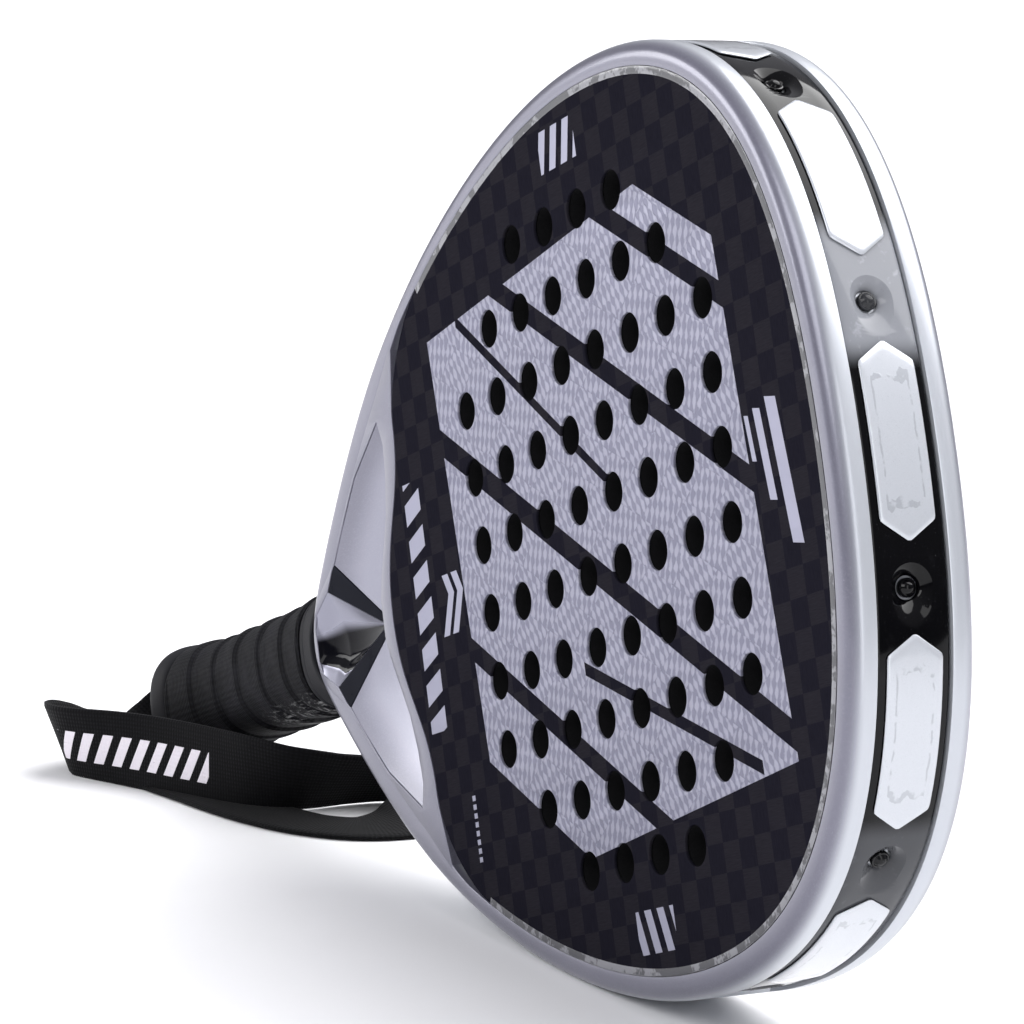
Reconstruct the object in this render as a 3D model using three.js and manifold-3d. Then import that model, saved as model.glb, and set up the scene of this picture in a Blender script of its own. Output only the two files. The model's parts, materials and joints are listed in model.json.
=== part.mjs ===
// A padel racket standing on its side edge, with its wrist strap lying round the handle.
// Millimetres, +Z up. The racket is drawn flat first: x runs along its length from the head
// centre to the tip, y across the head, z through its thickness. It is then leaned on its edge.

import * as THREE from 'three';
import { mergeVertices } from 'three/addons/utils/BufferGeometryUtils.js';
import Module from 'manifold-3d';

const wasm = await Module();
wasm.setup();

// Driving dimensions
const HALF_THICK = 19;
const TIP_X = 124.5;
const HALF_WIDTH = 130;
const WIDEST_X = 16;
const NOSE_X = -196;
const BUTT_X = -331;
const GAP = 0.3;

// Frame tube
const BORDER_HEAD = 7;
const BORDER_THROAT = 10.5;
const BORDER_NOSE = 5;
const LEDGE = 9;
const LEDGE_MIN = 0.4;
const EDGE_ROUND = 4.5;
const FACE_SKIN = 1;
const CORE_HALF = HALF_THICK - FACE_SKIN - GAP;
const FRAME_STATIONS = 88;

// Hole field
const HOLE_PITCH = 20;
const HOLE_R = 5.5;

// Edge guard
const CHANNEL_HALF = 11.4;
const CHANNEL_DEPTH = 4.5;
const GUARD_REACH = 200;
const GUARD_TOP = 0.9;
const GUARD_HALF = 10.7;
const WINDOW_STEP = 75;
const WINDOW_HALF = 26;
const WINDOW_SHOULDER = 20.5;
const WINDOW_HALF_WIDTH = 8.3;
const DIMPLE_R = 6.3;
const NUB_R = 2.6;

// Handle
const COLLAR_X = -197;
const GRIP_X = -207;
const GRIP_END_X = -318.8;
const WRAP_PITCH = 19;
const CORE_HV = 13.5;
const CORE_HW = 12.5;
const BUTT_R = 21.5;

// Wrist strap
const STRAP_WIDTH = 26;
const STRAP_THICK = 1.8;

// Colours and finishes
const SILVER = { color: 0xb4b5c2, roughness: 0.35, metalness: 0.45 };
const CARBON = { color: 0x2c2a33, roughness: 0.42, metalness: 0.1 };
const FOAM = { color: 0x17171a, roughness: 0.9, metalness: 0 };
const GLOSS_BLACK = { color: 0x0a0a0d, roughness: 0.12, metalness: 0 };
const WINDOW_SILVER = { color: 0xc3cad4, roughness: 0.3, metalness: 0.4 };
const NAVY = { color: 0x1b1d26, roughness: 0.3, metalness: 0.1 };
const RUBBER = { color: 0x121216, roughness: 0.8, metalness: 0 };
const WRAP = { color: 0x1e1e24, roughness: 0.7, metalness: 0 };
const WEBBING = { color: 0x0c0c0f, roughness: 0.9, metalness: 0 };

// ---------------------------------------------------------------- solids

// A closed mesh from points and triangles, turned inside out if its volume is negative.
function solid(points, triangles) {
  const geometry = new THREE.BufferGeometry().setFromPoints(points);
  let volume = 0;
  const cross = new THREE.Vector3();
  for (const [a, b, c] of triangles) {
    volume += points[a].dot(cross.crossVectors(points[b], points[c]));
  }
  const order = volume < 0 ? triangles.map(([a, b, c]) => [a, c, b]) : triangles;
  geometry.setIndex(order.flat());
  return geometry;
}

// Rings of equally many points joined one to the next. A loop closes on itself, and an open
// row of rings is closed by a flat fan at each end.
function loft(rings, loop = false) {
  const n = rings[0].length;
  const triangles = [];
  const last = loop ? rings.length : rings.length - 1;
  for (let i = 0; i < last; i += 1) {
    const near = i * n;
    const far = ((i + 1) % rings.length) * n;
    for (let j = 0; j < n; j += 1) {
      const k = (j + 1) % n;
      triangles.push([near + j, near + k, far + k]);
      triangles.push([near + j, far + k, far + j]);
    }
  }
  if (!loop) {
    const end = (rings.length - 1) * n;
    for (let j = 1; j < n - 1; j += 1) {
      triangles.push([0, j + 1, j]);
      triangles.push([end, end + j, end + j + 1]);
    }
  }
  return solid(rings.flat(), triangles);
}

// A flat outline given thickness from z = low to z = high.
function plate(outline, low, high, holes = []) {
  const shape = new THREE.Shape(outline);
  shape.holes = holes.map((points) => new THREE.Path(points));
  const geometry = new THREE.ExtrudeGeometry(shape, { depth: high - low, bevelEnabled: false });
  return geometry.translate(0, 0, low);
}

// A prism whose flat mouth is outside the racket and whose floor is a shallow cone of facets
// from the outline's own heights to one deepest point. side is 1 for the front, -1 for the rear.
function well(outline, deepest, side) {
  const mouth = outline.map(([x, y]) => new THREE.Vector3(x, y, side * (HALF_THICK + 2)));
  const floor = outline.map(([x, y, z]) => new THREE.Vector3(x, y, side * z));
  const n = outline.length;
  const points = [...mouth, ...floor];
  points.push(new THREE.Vector3(deepest[0], deepest[1], side * deepest[2]));
  const triangles = [];
  for (let j = 0; j < n; j += 1) {
    const k = (j + 1) % n;
    triangles.push([j, k, n + k]);
    triangles.push([j, n + k, n + j]);
    triangles.push([n + j, n + k, 2 * n]);
  }
  const cap = THREE.ShapeUtils.triangulateShape(
    outline.map(([x, y]) => new THREE.Vector2(x, y)),
    [],
  );
  const forward = THREE.ShapeUtils.area(outline.map(([x, y]) => new THREE.Vector2(x, y))) > 0;
  for (const [a, b, c] of cap) triangles.push(forward ? [a, c, b] : [a, b, c]);
  return solid(points, triangles);
}

function toManifold(geometry) {
  const bare = geometry.clone();
  bare.deleteAttribute('normal');
  bare.deleteAttribute('uv');
  const merged = mergeVertices(bare, 1e-4);
  return new wasm.Manifold(
    new wasm.Mesh({
      numProp: 3,
      vertProperties: new Float32Array(merged.attributes.position.array),
      triVerts: new Uint32Array(merged.index.array),
    }),
  );
}

function fromManifold(body) {
  const mesh = body.getMesh();
  const geometry = new THREE.BufferGeometry();
  geometry.setAttribute('position', new THREE.BufferAttribute(mesh.vertProperties, 3));
  geometry.setIndex(new THREE.BufferAttribute(mesh.triVerts, 1));
  return geometry;
}

function cut(base, cutters) {
  let body = toManifold(base);
  for (const cutter of cutters) body = body.subtract(toManifold(cutter));
  return fromManifold(body);
}

// ---------------------------------------------------------------- outline

// The outer edge as one closed curve, from the tip over the upper side to the handle and back.
function outerPath() {
  const path = new THREE.Path();
  path.moveTo(TIP_X, 0);
  path.bezierCurveTo(TIP_X, 83, 93, HALF_WIDTH, WIDEST_X, HALF_WIDTH);
  path.bezierCurveTo(-32, HALF_WIDTH, -87.5, 108.4, -128, 79);
  path.bezierCurveTo(-148, 64.5, -170, 41, -184, 24);
  path.bezierCurveTo(-191, 15.5, NOSE_X, 9, NOSE_X, 0);
  path.bezierCurveTo(NOSE_X, -9, -191, -15.5, -184, -24);
  path.bezierCurveTo(-170, -41, -148, -64.5, -128, -79);
  path.bezierCurveTo(-87.5, -108.4, -32, -HALF_WIDTH, WIDEST_X, -HALF_WIDTH);
  path.bezierCurveTo(93, -HALF_WIDTH, TIP_X, -83, TIP_X, 0);
  path.arcLengthDivisions = 900;
  return path;
}

const OUTER = outerPath();
const PERIMETER = OUTER.getLength();

// Position and outward normal on the outer edge, s mm round from the tip.
function edgeAt(s) {
  const t = (((s / PERIMETER) % 1) + 1) % 1;
  const point = OUTER.getPointAt(t);
  const tangent = OUTER.getTangentAt(t);
  return { point, normal: new THREE.Vector2(tangent.y, -tangent.x) };
}

// A point d mm inside the outer edge.
function inset(s, d) {
  const { point, normal } = edgeAt(s);
  return point.clone().addScaledVector(normal, -d);
}

// Eases from 0 at start to 1 at end, whichever of the two is larger.
function ease(start, end, value) {
  const t = THREE.MathUtils.clamp((value - start) / (end - start), 0, 1);
  return t * t * (3 - 2 * t);
}

// Width of the flat painted border: narrow round the head, wide in the throat, slim at the nose.
function borderAt(s) {
  const { x } = edgeAt(s).point;
  const throat = ease(-108, -138, x);
  const nose = ease(-178, -193, x);
  const side = THREE.MathUtils.lerp(BORDER_HEAD, BORDER_THROAT, throat);
  return THREE.MathUtils.lerp(side, BORDER_NOSE, nose);
}

function ledgeAt(s) {
  const { x } = edgeAt(s).point;
  return THREE.MathUtils.lerp(LEDGE, LEDGE_MIN, ease(-96, -118, x));
}

// ---------------------------------------------------------------- frame

// The tube's section at s as [inset, height] pairs, with the channel where the guard sits.
// grow pushes the inner walls out for the clearance that its neighbours are cut with, and a
// grown section stands above the faces so that it cuts right through them.
function frameSection(s, grow) {
  const fromTip = Math.min(s, PERIMETER - s);
  const channel = fromTip < GUARD_REACH + 1 ? CHANNEL_DEPTH : 0;
  const border = borderAt(s) + grow;
  const inner = border + ledgeAt(s);
  const top = HALF_THICK + (grow > 0 ? 3 : 0);
  const half = [
    [channel, CHANNEL_HALF - 0.4],
    [0, CHANNEL_HALF],
  ];
  for (const turn of [0, 35, 62, 90]) {
    const angle = THREE.MathUtils.degToRad(turn);
    const d = EDGE_ROUND * (1 - Math.cos(angle));
    half.push([d, top - EDGE_ROUND * (1 - Math.sin(angle))]);
  }
  half.push([border, top]);
  half.push([border, CORE_HALF + grow]);
  half.push([inner, CORE_HALF + grow]);
  const rear = half.map(([d, z]) => [d, -z]).reverse();
  return [...half, ...rear];
}

function frameSolid(grow = 0) {
  const count = FRAME_STATIONS;
  const rings = [];
  for (let i = 0; i < count; i += 1) {
    const s = (i * PERIMETER) / count;
    const ring = frameSection(s, grow).map(([d, z]) => {
      const p = inset(s, d);
      return new THREE.Vector3(p.x, p.y, z);
    });
    rings.push(ring);
  }
  return loft(rings, true);
}

// The face's edge: parallel to the frame round the head, then a shouldered S across the throat.
function faceOutline(extra) {
  const points = [];
  const step = 10;
  const reach = 314;
  const first = inset(reach, BORDER_HEAD + GAP + extra);
  const lead = inset(reach - 2, BORDER_HEAD + GAP + extra);
  const run = first.clone().sub(lead).normalize();
  for (let s = -reach; s <= reach; s += (2 * reach) / 58) {
    points.push(inset(s + PERIMETER, BORDER_HEAD + GAP + extra));
  }
  points[points.length - 1] = first;
  const corner = new THREE.CubicBezierCurve(
    first,
    first.clone().addScaledVector(run, 10),
    new THREE.Vector2(-118.6 + extra, 70),
    new THREE.Vector2(-118.6 + extra, 57),
  );
  const bulge = new THREE.CubicBezierCurve(
    new THREE.Vector2(-118.6 + extra, 57),
    new THREE.Vector2(-118.6 + extra, 32),
    new THREE.Vector2(-134 + extra, 26),
    new THREE.Vector2(-134 + extra, 0),
  );
  const upper = [...corner.getPoints(4).slice(1, -1), ...bulge.getPoints(step).slice(0, -1)];
  const lower = upper.map((p) => new THREE.Vector2(p.x, -p.y)).reverse();
  return [...points, ...upper, new THREE.Vector2(-134 + extra, 0), ...lower];
}

function holeField(radius, sides) {
  const holes = [];
  for (let row = -4.5; row <= 4.5; row += 1) {
    const reach = Math.min(3.5, 6 - Math.abs(row));
    for (let column = -Math.max(reach, 1.5); column <= Math.max(reach, 1.5); column += 1) {
      const ring = [];
      for (let k = 0; k < sides; k += 1) {
        const angle = ((k + 0.5) / sides) * 2 * Math.PI;
        const x = column * HOLE_PITCH + radius * Math.cos(angle);
        const y = row * HOLE_PITCH - radius * Math.sin(angle);
        ring.push(new THREE.Vector2(x, y));
      }
      holes.push(ring);
    }
  }
  return holes;
}

// ---------------------------------------------------------------- throat

// The V between the frame's arms, filled by a sculpted block with three wells on each face.
const SIDE_WELL = [
  [-129.8, 59.5, 18.4],
  [-150, 46, 17.4],
  [-172.5, 23, 17.2],
  [-141.2, 5.4, 11],
  [-139.2, 12, 10],
  [-135.2, 21, 10],
  [-130.8, 31, 10.5],
  [-128.2, 42, 12],
  [-127.3, 52, 15.5],
];
const SIDE_WELL_DEEPEST = [-150, 24, 10.5];
const MID_WELL = [
  [-189, 8.5, 17.6],
  [-178.4, 13.6, 17],
  [-152, 3.2, 15],
  [-141, 2.2, 10],
  [-141, -2.2, 10],
  [-152, -3.2, 15],
  [-178.4, -13.6, 17],
  [-189, -8.5, 17.6],
];
const MID_WELL_DEEPEST = [-158, 0, 8.5];
const CHEVRON_ARM = [
  [-173, 21.4],
  [-179.5, 15.8],
  [-152, 4.8],
  [-142, 4.1],
];
const CHEVRON_DEPTH = 1.4;

function mirrored(outline) {
  return outline.map(([x, y, ...rest]) => [x, -y, ...rest]).reverse();
}

function chevronOutline(up, grow) {
  const arm = up > 0 ? CHEVRON_ARM : mirrored(CHEVRON_ARM);
  const centre = arm.reduce((sum, [x, y]) => [sum[0] + x / 4, sum[1] + y / 4], [0, 0]);
  return arm.map(([x, y]) => {
    const away = new THREE.Vector2(x - centre[0], y - centre[1]);
    const scale = 1 - grow / away.length();
    return new THREE.Vector2(centre[0] + away.x * scale, centre[1] + away.y * scale);
  });
}

// The throat's outline, d mm inside the outer edge, closed straight across under the face.
function throatOutline(d) {
  const points = [];
  const reach = 290;
  for (let k = 0; k <= 30; k += 1) {
    points.push(inset(reach + ((PERIMETER - 2 * reach) * k) / 30, d));
  }
  return points;
}

function throatSolid(frameClearance) {
  const cutters = [frameClearance, plate(faceOutline(-GAP), -30, 30)];
  for (const side of [1, -1]) {
    cutters.push(well(SIDE_WELL, SIDE_WELL_DEEPEST, side));
    const [x, y, z] = SIDE_WELL_DEEPEST;
    cutters.push(well(mirrored(SIDE_WELL), [x, -y, z], side));
    cutters.push(well(MID_WELL, MID_WELL_DEEPEST, side));
    for (const up of [1, -1]) {
      const low = side > 0 ? HALF_THICK - CHEVRON_DEPTH : -HALF_THICK - 2;
      const high = side > 0 ? HALF_THICK + 2 : -HALF_THICK + CHEVRON_DEPTH;
      cutters.push(plate(chevronOutline(up, 0), low, high));
    }
  }
  return cut(plate(throatOutline(3), -HALF_THICK, HALF_THICK), cutters);
}

// ---------------------------------------------------------------- edge guard

// A bar that follows the edge from s0 to s1 between two insets, halfAt(s) to each side of the
// middle plane.
function edgeBar(s0, s1, steps, top, bottom, halfAt) {
  const rings = [];
  for (let i = 0; i <= steps; i += 1) {
    const s = THREE.MathUtils.lerp(s0, s1, i / steps);
    const outer = inset(s + PERIMETER, top);
    const inner = inset(s + PERIMETER, bottom);
    const half = halfAt(s);
    rings.push([
      new THREE.Vector3(outer.x, outer.y, half),
      new THREE.Vector3(outer.x, outer.y, -half),
      new THREE.Vector3(inner.x, inner.y, -half),
      new THREE.Vector3(inner.x, inner.y, half),
    ]);
  }
  return loft(rings);
}

// Places geometry drawn with +z pointing out of the racket at s on its edge, d mm deep.
function ontoEdge(geometry, s, d) {
  const { normal } = edgeAt(s + PERIMETER);
  const p = inset(s + PERIMETER, d);
  const out = new THREE.Vector3(normal.x, normal.y, 0);
  const along = new THREE.Vector3(-normal.y, normal.x, 0);
  const basis = new THREE.Matrix4().makeBasis(along, new THREE.Vector3(0, 0, 1), out);
  const across = new THREE.Vector3().crossVectors(along, new THREE.Vector3(0, 0, 1));
  if (across.dot(out) < 0) basis.makeBasis(along.negate(), new THREE.Vector3(0, 0, 1), out);
  basis.setPosition(p.x, p.y, 0);
  return geometry.applyMatrix4(basis);
}

// A countersunk teardrop, its point towards -x, from a wide mouth down to a round bore.
function teardrop() {
  const sides = 16;
  const levels = [
    [3, DIMPLE_R + 1.4, 0.6],
    [0, DIMPLE_R, 0.6],
    [-2.6, NUB_R + 0.6, 0.1],
    [-8, NUB_R + 0.6, 0],
  ];
  const rings = levels.map(([z, radius, pull]) => {
    const ring = [];
    for (let k = 0; k < sides; k += 1) {
      const angle = (k / sides) * 2 * Math.PI;
      const lobe = Math.max(0, Math.cos(angle)) ** 3;
      const r = radius * (1 + pull * lobe);
      ring.push(new THREE.Vector3(-r * Math.cos(angle), r * Math.sin(angle), z));
    }
    return ring;
  });
  return loft(rings);
}

function screwHead() {
  const profile = [
    [0, 0],
    [NUB_R, 0],
    [NUB_R, 1.3],
    [NUB_R * 0.8, 2],
    [NUB_R * 0.45, 2.35],
    [0, 2.5],
  ];
  const points = profile.map(([r, z]) => new THREE.Vector2(r, z));
  const head = new THREE.LatheGeometry(points, 10);
  return head.rotateX(Math.PI / 2);
}

// ---------------------------------------------------------------- handle

// One rounded-square section of the handle at x.
function handleRing(x, halfY, halfZ, sides = 16) {
  const ring = [];
  const power = 2 / 2.5;
  for (let k = 0; k < sides; k += 1) {
    const angle = (k / sides) * 2 * Math.PI;
    const c = Math.cos(angle);
    const s = Math.sin(angle);
    const y = halfY * Math.sign(c) * Math.abs(c) ** power;
    const z = halfZ * Math.sign(s) * Math.abs(s) ** power;
    ring.push(new THREE.Vector3(x, y, z));
  }
  return ring;
}

// A tube of handle sections: stations are [x, outer half height, outer half depth].
function sleeve(stations, innerY, innerZ) {
  const outside = stations.map(([x, y, z]) => handleRing(x, y, z));
  const inside = stations.map(([x]) => handleRing(x, innerY, innerZ)).reverse();
  return loft([...outside, ...inside], true);
}

// The grip's half height swells towards the butt and where the wraps start by the throat.
function gripHalf(x) {
  const towardsButt = ease(-285, -320, x);
  const towardsThroat = ease(-232, -206, x);
  return 18.3 + 2.2 * towardsButt + 1.1 * towardsThroat;
}

function overgrip() {
  const stations = [];
  const count = 26;
  for (let i = 0; i <= count; i += 1) {
    const x = THREE.MathUtils.lerp(GRIP_X, GRIP_END_X, i / count);
    const turn = (((GRIP_X - x) / WRAP_PITCH) % 1) - 0.5;
    const ridge = 0.45 * Math.cos(turn * 2 * Math.PI);
    const half = gripHalf(x) + ridge;
    stations.push([x, half, half - 1]);
  }
  return sleeve(stations, 16.5, 15.5);
}

// The collar flares from the grip to the throat, and its front end hugs the frame's nose.
function gripCollar() {
  const stations = [
    [COLLAR_X + 12, 22.3, 18.7],
    [COLLAR_X, 21.6, 18.6],
    [COLLAR_X - 5, 20.3, 18.2],
    [GRIP_X + GAP, 19.6, 18],
  ];
  return cut(sleeve(stations, 16.5, 15.5), [plate(throatOutline(-GAP), -30, 30)]);
}

function buttCap() {
  const cap = loft([
    handleRing(-319.1, 20.4, 19.4, 24),
    handleRing(-323, 21.3, 20.3, 24),
    handleRing(-327.5, BUTT_R, 20.5, 24),
    handleRing(-330, 20.7, 19.7, 24),
    handleRing(BUTT_X, 18.9, 17.9, 24),
  ]);
  const slot = new THREE.BoxGeometry(20, 29.4, 9.2).translate(BUTT_X + 8 - 10, 0, 0);
  return cut(cap, [slot]);
}

// ---------------------------------------------------------------- posture

// The racket rests on the side of its head and on its butt. lean is the angle between its
// length and the floor at which both touch, found by halving.
function restingLean() {
  const head = [];
  for (let i = 0; i < FRAME_STATIONS; i += 1) {
    head.push(inset((i * PERIMETER) / FRAME_STATIONS, 0));
  }
  const butt = new THREE.Vector2(-327.5, -BUTT_R);
  let low = 0;
  let high = Math.PI / 4;
  for (let k = 0; k < 40; k += 1) {
    const mid = (low + high) / 2;
    const height = (p) => p.x * Math.sin(mid) + p.y * Math.cos(mid);
    const headLow = Math.min(...head.map(height));
    if (headLow < height(butt)) low = mid;
    else high = mid;
  }
  return low;
}

const LEAN = restingLean();
const ALONG = new THREE.Vector3(Math.cos(LEAN), 0, Math.sin(LEAN));
const ACROSS = new THREE.Vector3(-Math.sin(LEAN), 0, Math.cos(LEAN));
const OUT_OF_FACE = new THREE.Vector3(0, -1, 0);
const POSTURE = new THREE.Matrix4().makeBasis(ALONG, ACROSS, OUT_OF_FACE);

// ---------------------------------------------------------------- strap

// The band's route, starting and ending at the butt: [along the floor from the butt's end,
// towards the front, lift above lying on the floor, roll: 0 flat, 90 on edge].
const STRAP_ROUTE = [
  [-4.4, 1.8, 3.9, -90],
  [-6.6, 2.6, 3, -88],
  [-8.8, 5.2, 1.8, -76],
  [-9.2, 9.5, 0.6, -54],
  [-7.4, 15.5, 0.2, -32],
  [2, 23.5, 0.2, -14],
  [17, 26, 0.2, -4],
  [34, 24.5, 0.2, 0],
  [52, 21.5, 0.2, 0],
  [71, 18.5, 0.2, 0],
  [90, 14, 0.2, 0],
  [107, 6.5, 0.2, 0],
  [118, -5, 0.2, 2],
  [120, -19, 0.2, 8],
  [113, -32, 0.2, 20],
  [100, -37, 0.2, 32],
  [91, -31, 0.2, 40],
  [89, -19, 0.2, 47],
  [90, -6, 0.3, 54],
  [88, 6, 0.5, 64],
  [79, 15.5, 0.4, 78],
  [66, 22.5, 0.2, 87],
  [52, 29, 0.2, 90],
  [38, 36, 0.2, 88],
  [26, 43.5, 0.2, 82],
  [16, 50.5, 0.2, 76],
  [7, 54.5, 0.2, 72],
  [-0.5, 53, 0.4, 66],
  [-5, 46, 0.6, 54],
  [-7.5, 37, 0.6, 40],
  [-9, 26, 0.4, 29],
  [-12.5, 16, 0.4, 28],
  [-14, 8.5, 1, 44],
  [-12.2, 1.5, 2.2, 72],
  [-8, -2.1, 3, 88],
  [-4.4, -1.8, 3.9, 90],
];

// Height of the band's middle line when its lower edge touches the floor.
function lyingHeight(roll) {
  return (STRAP_WIDTH * Math.abs(Math.sin(roll)) + STRAP_THICK * Math.abs(Math.cos(roll))) / 2;
}

// A flat band swept along the route, its width turned about the route by the roll.
function strapBand() {
  const places = STRAP_ROUTE.map(([along, front, lift, roll]) => {
    const up = lift + lyingHeight(THREE.MathUtils.degToRad(roll));
    return new THREE.Vector3(along, -front, up);
  });
  const rolls = STRAP_ROUTE.map(([, , , roll], i) => new THREE.Vector3(i, roll, 0));
  const curve = new THREE.CatmullRomCurve3(places, false, 'centripetal');
  const rollCurve = new THREE.CatmullRomCurve3(rolls);
  const steps = 78;
  const rings = [];
  for (let i = 0; i <= steps; i += 1) {
    const t = i / steps;
    const p = curve.getPoint(t);
    const tangent = curve.getTangent(t);
    const level = new THREE.Vector3(-tangent.y, tangent.x, 0).normalize();
    const rise = new THREE.Vector3().crossVectors(tangent, level).normalize();
    const roll = THREE.MathUtils.degToRad(rollCurve.getPoint(t).y);
    const width = level.clone().multiplyScalar(Math.cos(roll));
    width.addScaledVector(rise, Math.sin(roll));
    const face = new THREE.Vector3().crossVectors(width, tangent).normalize();
    const ring = [];
    for (const [a, b] of [[1, 1], [1, -1], [-1, -1], [-1, 1]]) {
      const corner = p.clone().addScaledVector(width, (a * STRAP_WIDTH) / 2);
      ring.push(corner.addScaledVector(face, (b * STRAP_THICK) / 2));
    }
    rings.push(ring);
  }
  return loft(rings);
}

// ---------------------------------------------------------------- assembly

const object = new THREE.Group();
object.name = 'padel_racket';
const racket = new THREE.Group();
racket.name = 'racket';
object.add(racket);

function addPart(name, geometry, finish, group = racket) {
  const part = new THREE.Mesh(geometry, new THREE.MeshStandardMaterial(finish));
  part.name = name;
  group.add(part);
  return part;
}

const frameClearance = frameSolid(GAP);
addPart('frame', frameSolid(), SILVER);
addPart('throat_block', throatSolid(frameClearance), SILVER);

for (const [face, side] of [['front', 1], ['rear', -1]]) {
  const top = HALF_THICK - GAP;
  const bottom = HALF_THICK - CHEVRON_DEPTH + GAP;
  for (const [name, up] of [['upper', 1], ['lower', -1]]) {
    const low = side > 0 ? bottom : -top;
    const high = side > 0 ? top : -bottom;
    const arm = plate(chevronOutline(up, 2 * GAP), low, high);
    addPart(`throat_arm_${face}_${name}`, arm, NAVY);
  }
}

const coreBlank = plate(faceOutline(0), -CORE_HALF, CORE_HALF, holeField(HOLE_R + 3 * GAP, 6));
addPart('core', cut(coreBlank, [frameClearance]), FOAM);
const skinLow = HALF_THICK - FACE_SKIN;
const skinHoles = holeField(HOLE_R, 8);
addPart('face_front', plate(faceOutline(0), skinLow, HALF_THICK, skinHoles), CARBON);
addPart('face_rear', plate(faceOutline(0), -HALF_THICK, -skinLow, skinHoles), CARBON);

const guardCuts = [];
for (let k = -2.5; k <= 2.5; k += 1) {
  guardCuts.push(ontoEdge(teardrop(), k * WINDOW_STEP, GUARD_TOP));
}
const guardBar = edgeBar(
  -GUARD_REACH + 3,
  GUARD_REACH - 3,
  56,
  GUARD_TOP,
  CHANNEL_DEPTH - 2 * GAP,
  () => GUARD_HALF,
);
addPart('edge_guard', cut(guardBar, guardCuts), GLOSS_BLACK);

for (let k = 0; k < 6; k += 1) {
  const head = ontoEdge(screwHead(), (k - 2.5) * WINDOW_STEP, CHANNEL_DEPTH - GAP);
  addPart(`guard_screw_${k + 1}`, head, GLOSS_BLACK);
}

for (let k = 0; k < 5; k += 1) {
  const middle = (k - 2) * WINDOW_STEP;
  const halfAt = (s) => {
    const beyond = Math.max(0, Math.abs(s - middle) - WINDOW_SHOULDER);
    const share = 1 - beyond / (WINDOW_HALF - WINDOW_SHOULDER);
    return Math.max(0.9, WINDOW_HALF_WIDTH * share);
  };
  const pane = edgeBar(
    middle - WINDOW_HALF,
    middle + WINDOW_HALF,
    13,
    GUARD_TOP - 3 * GAP,
    GUARD_TOP - GAP,
    halfAt,
  );
  addPart(`guard_window_${k + 1}`, pane, WINDOW_SILVER);
}

const coreRings = [COLLAR_X - 0.5, GRIP_END_X + 2].map((x) => handleRing(x, CORE_HV, CORE_HW));
addPart('handle_core', loft(coreRings), CARBON);
const padEnds = [COLLAR_X - 1.5, GRIP_END_X + 2].map((x) => [x, 16.2, 15.2]);
addPart('base_grip', sleeve(padEnds, CORE_HV + GAP, CORE_HW + GAP), RUBBER);
addPart('grip_collar', gripCollar(), RUBBER);
addPart('overgrip', overgrip(), WRAP);
addPart('butt_cap', buttCap(), RUBBER);
const anchor = new THREE.BoxGeometry(9, 28.2, 7.4).translate(BUTT_X + 7.4 - 4.5, 0, 0);
addPart('strap_anchor', anchor, WEBBING);

// The racket's group is leaned, then moved so that the origin is under its middle, on the floor.
racket.setRotationFromMatrix(POSTURE);
const box = new THREE.Box3().setFromObject(racket, true);
const middle = box.getCenter(new THREE.Vector3());
racket.position.set(-middle.x, -middle.y, -box.min.z);
racket.updateMatrixWorld(true);

// The strap lies on the floor round the butt, so it stays out of the leaned group.
const buttEnd = racket.localToWorld(new THREE.Vector3(BUTT_X, 0, 0));
const wristStrap = addPart('wrist_strap', strapBand(), WEBBING, object);
wristStrap.position.set(buttEnd.x, buttEnd.y, 0);

export default object;
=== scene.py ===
"""A padel racket standing on the edge of its head and on its butt, with its strap on the floor.

Shapes are worked out in the racket's own flat coordinates, in millimetres: u from the middle of
the head towards the tip, v across the head, w out of the front face. leaned() turns them into the
row frame. s runs round the outer edge from the tip over the upper side, and d is a depth inside it.
"""

import json
import math

import bmesh
import bpy
import numpy as np
from mathutils import Matrix, Vector


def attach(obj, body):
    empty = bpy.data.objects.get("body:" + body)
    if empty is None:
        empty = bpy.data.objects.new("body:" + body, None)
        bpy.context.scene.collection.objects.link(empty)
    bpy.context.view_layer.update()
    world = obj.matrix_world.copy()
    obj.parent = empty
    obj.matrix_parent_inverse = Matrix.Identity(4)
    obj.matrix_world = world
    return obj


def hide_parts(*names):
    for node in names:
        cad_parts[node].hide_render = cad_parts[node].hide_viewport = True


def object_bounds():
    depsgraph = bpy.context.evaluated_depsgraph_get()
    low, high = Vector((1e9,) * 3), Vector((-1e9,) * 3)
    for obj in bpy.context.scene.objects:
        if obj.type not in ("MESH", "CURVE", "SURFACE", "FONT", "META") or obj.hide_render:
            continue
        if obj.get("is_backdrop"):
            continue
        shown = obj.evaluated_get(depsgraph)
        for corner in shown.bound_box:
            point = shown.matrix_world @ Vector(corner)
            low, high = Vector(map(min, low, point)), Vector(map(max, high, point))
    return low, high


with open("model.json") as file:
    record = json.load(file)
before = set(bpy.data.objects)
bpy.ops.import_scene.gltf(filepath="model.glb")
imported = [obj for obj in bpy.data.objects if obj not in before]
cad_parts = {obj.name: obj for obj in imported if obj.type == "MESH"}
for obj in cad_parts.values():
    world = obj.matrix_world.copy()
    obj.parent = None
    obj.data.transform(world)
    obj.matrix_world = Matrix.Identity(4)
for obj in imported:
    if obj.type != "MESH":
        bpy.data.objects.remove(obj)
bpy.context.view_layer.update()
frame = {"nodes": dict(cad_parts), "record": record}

# ---------------------------------------------------------------- dimensions, mm

LEAN = math.radians(19.29031)
HALF_THICK = 19.0
TIP_U = 124.5
HALF_WIDTH = 130.0
WIDEST_U = 16.0
NOSE_U = -196.0
BUTT_U = -331.0
GAP = 0.3

BORDER_HEAD = 7.0
BORDER_THROAT = 10.5
BORDER_NOSE = 5.0
EDGE_ROUND = 4.5
FACE_SKIN = 1.0
HOLE_PITCH = 20.0
HOLE_R = 5.5

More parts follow.
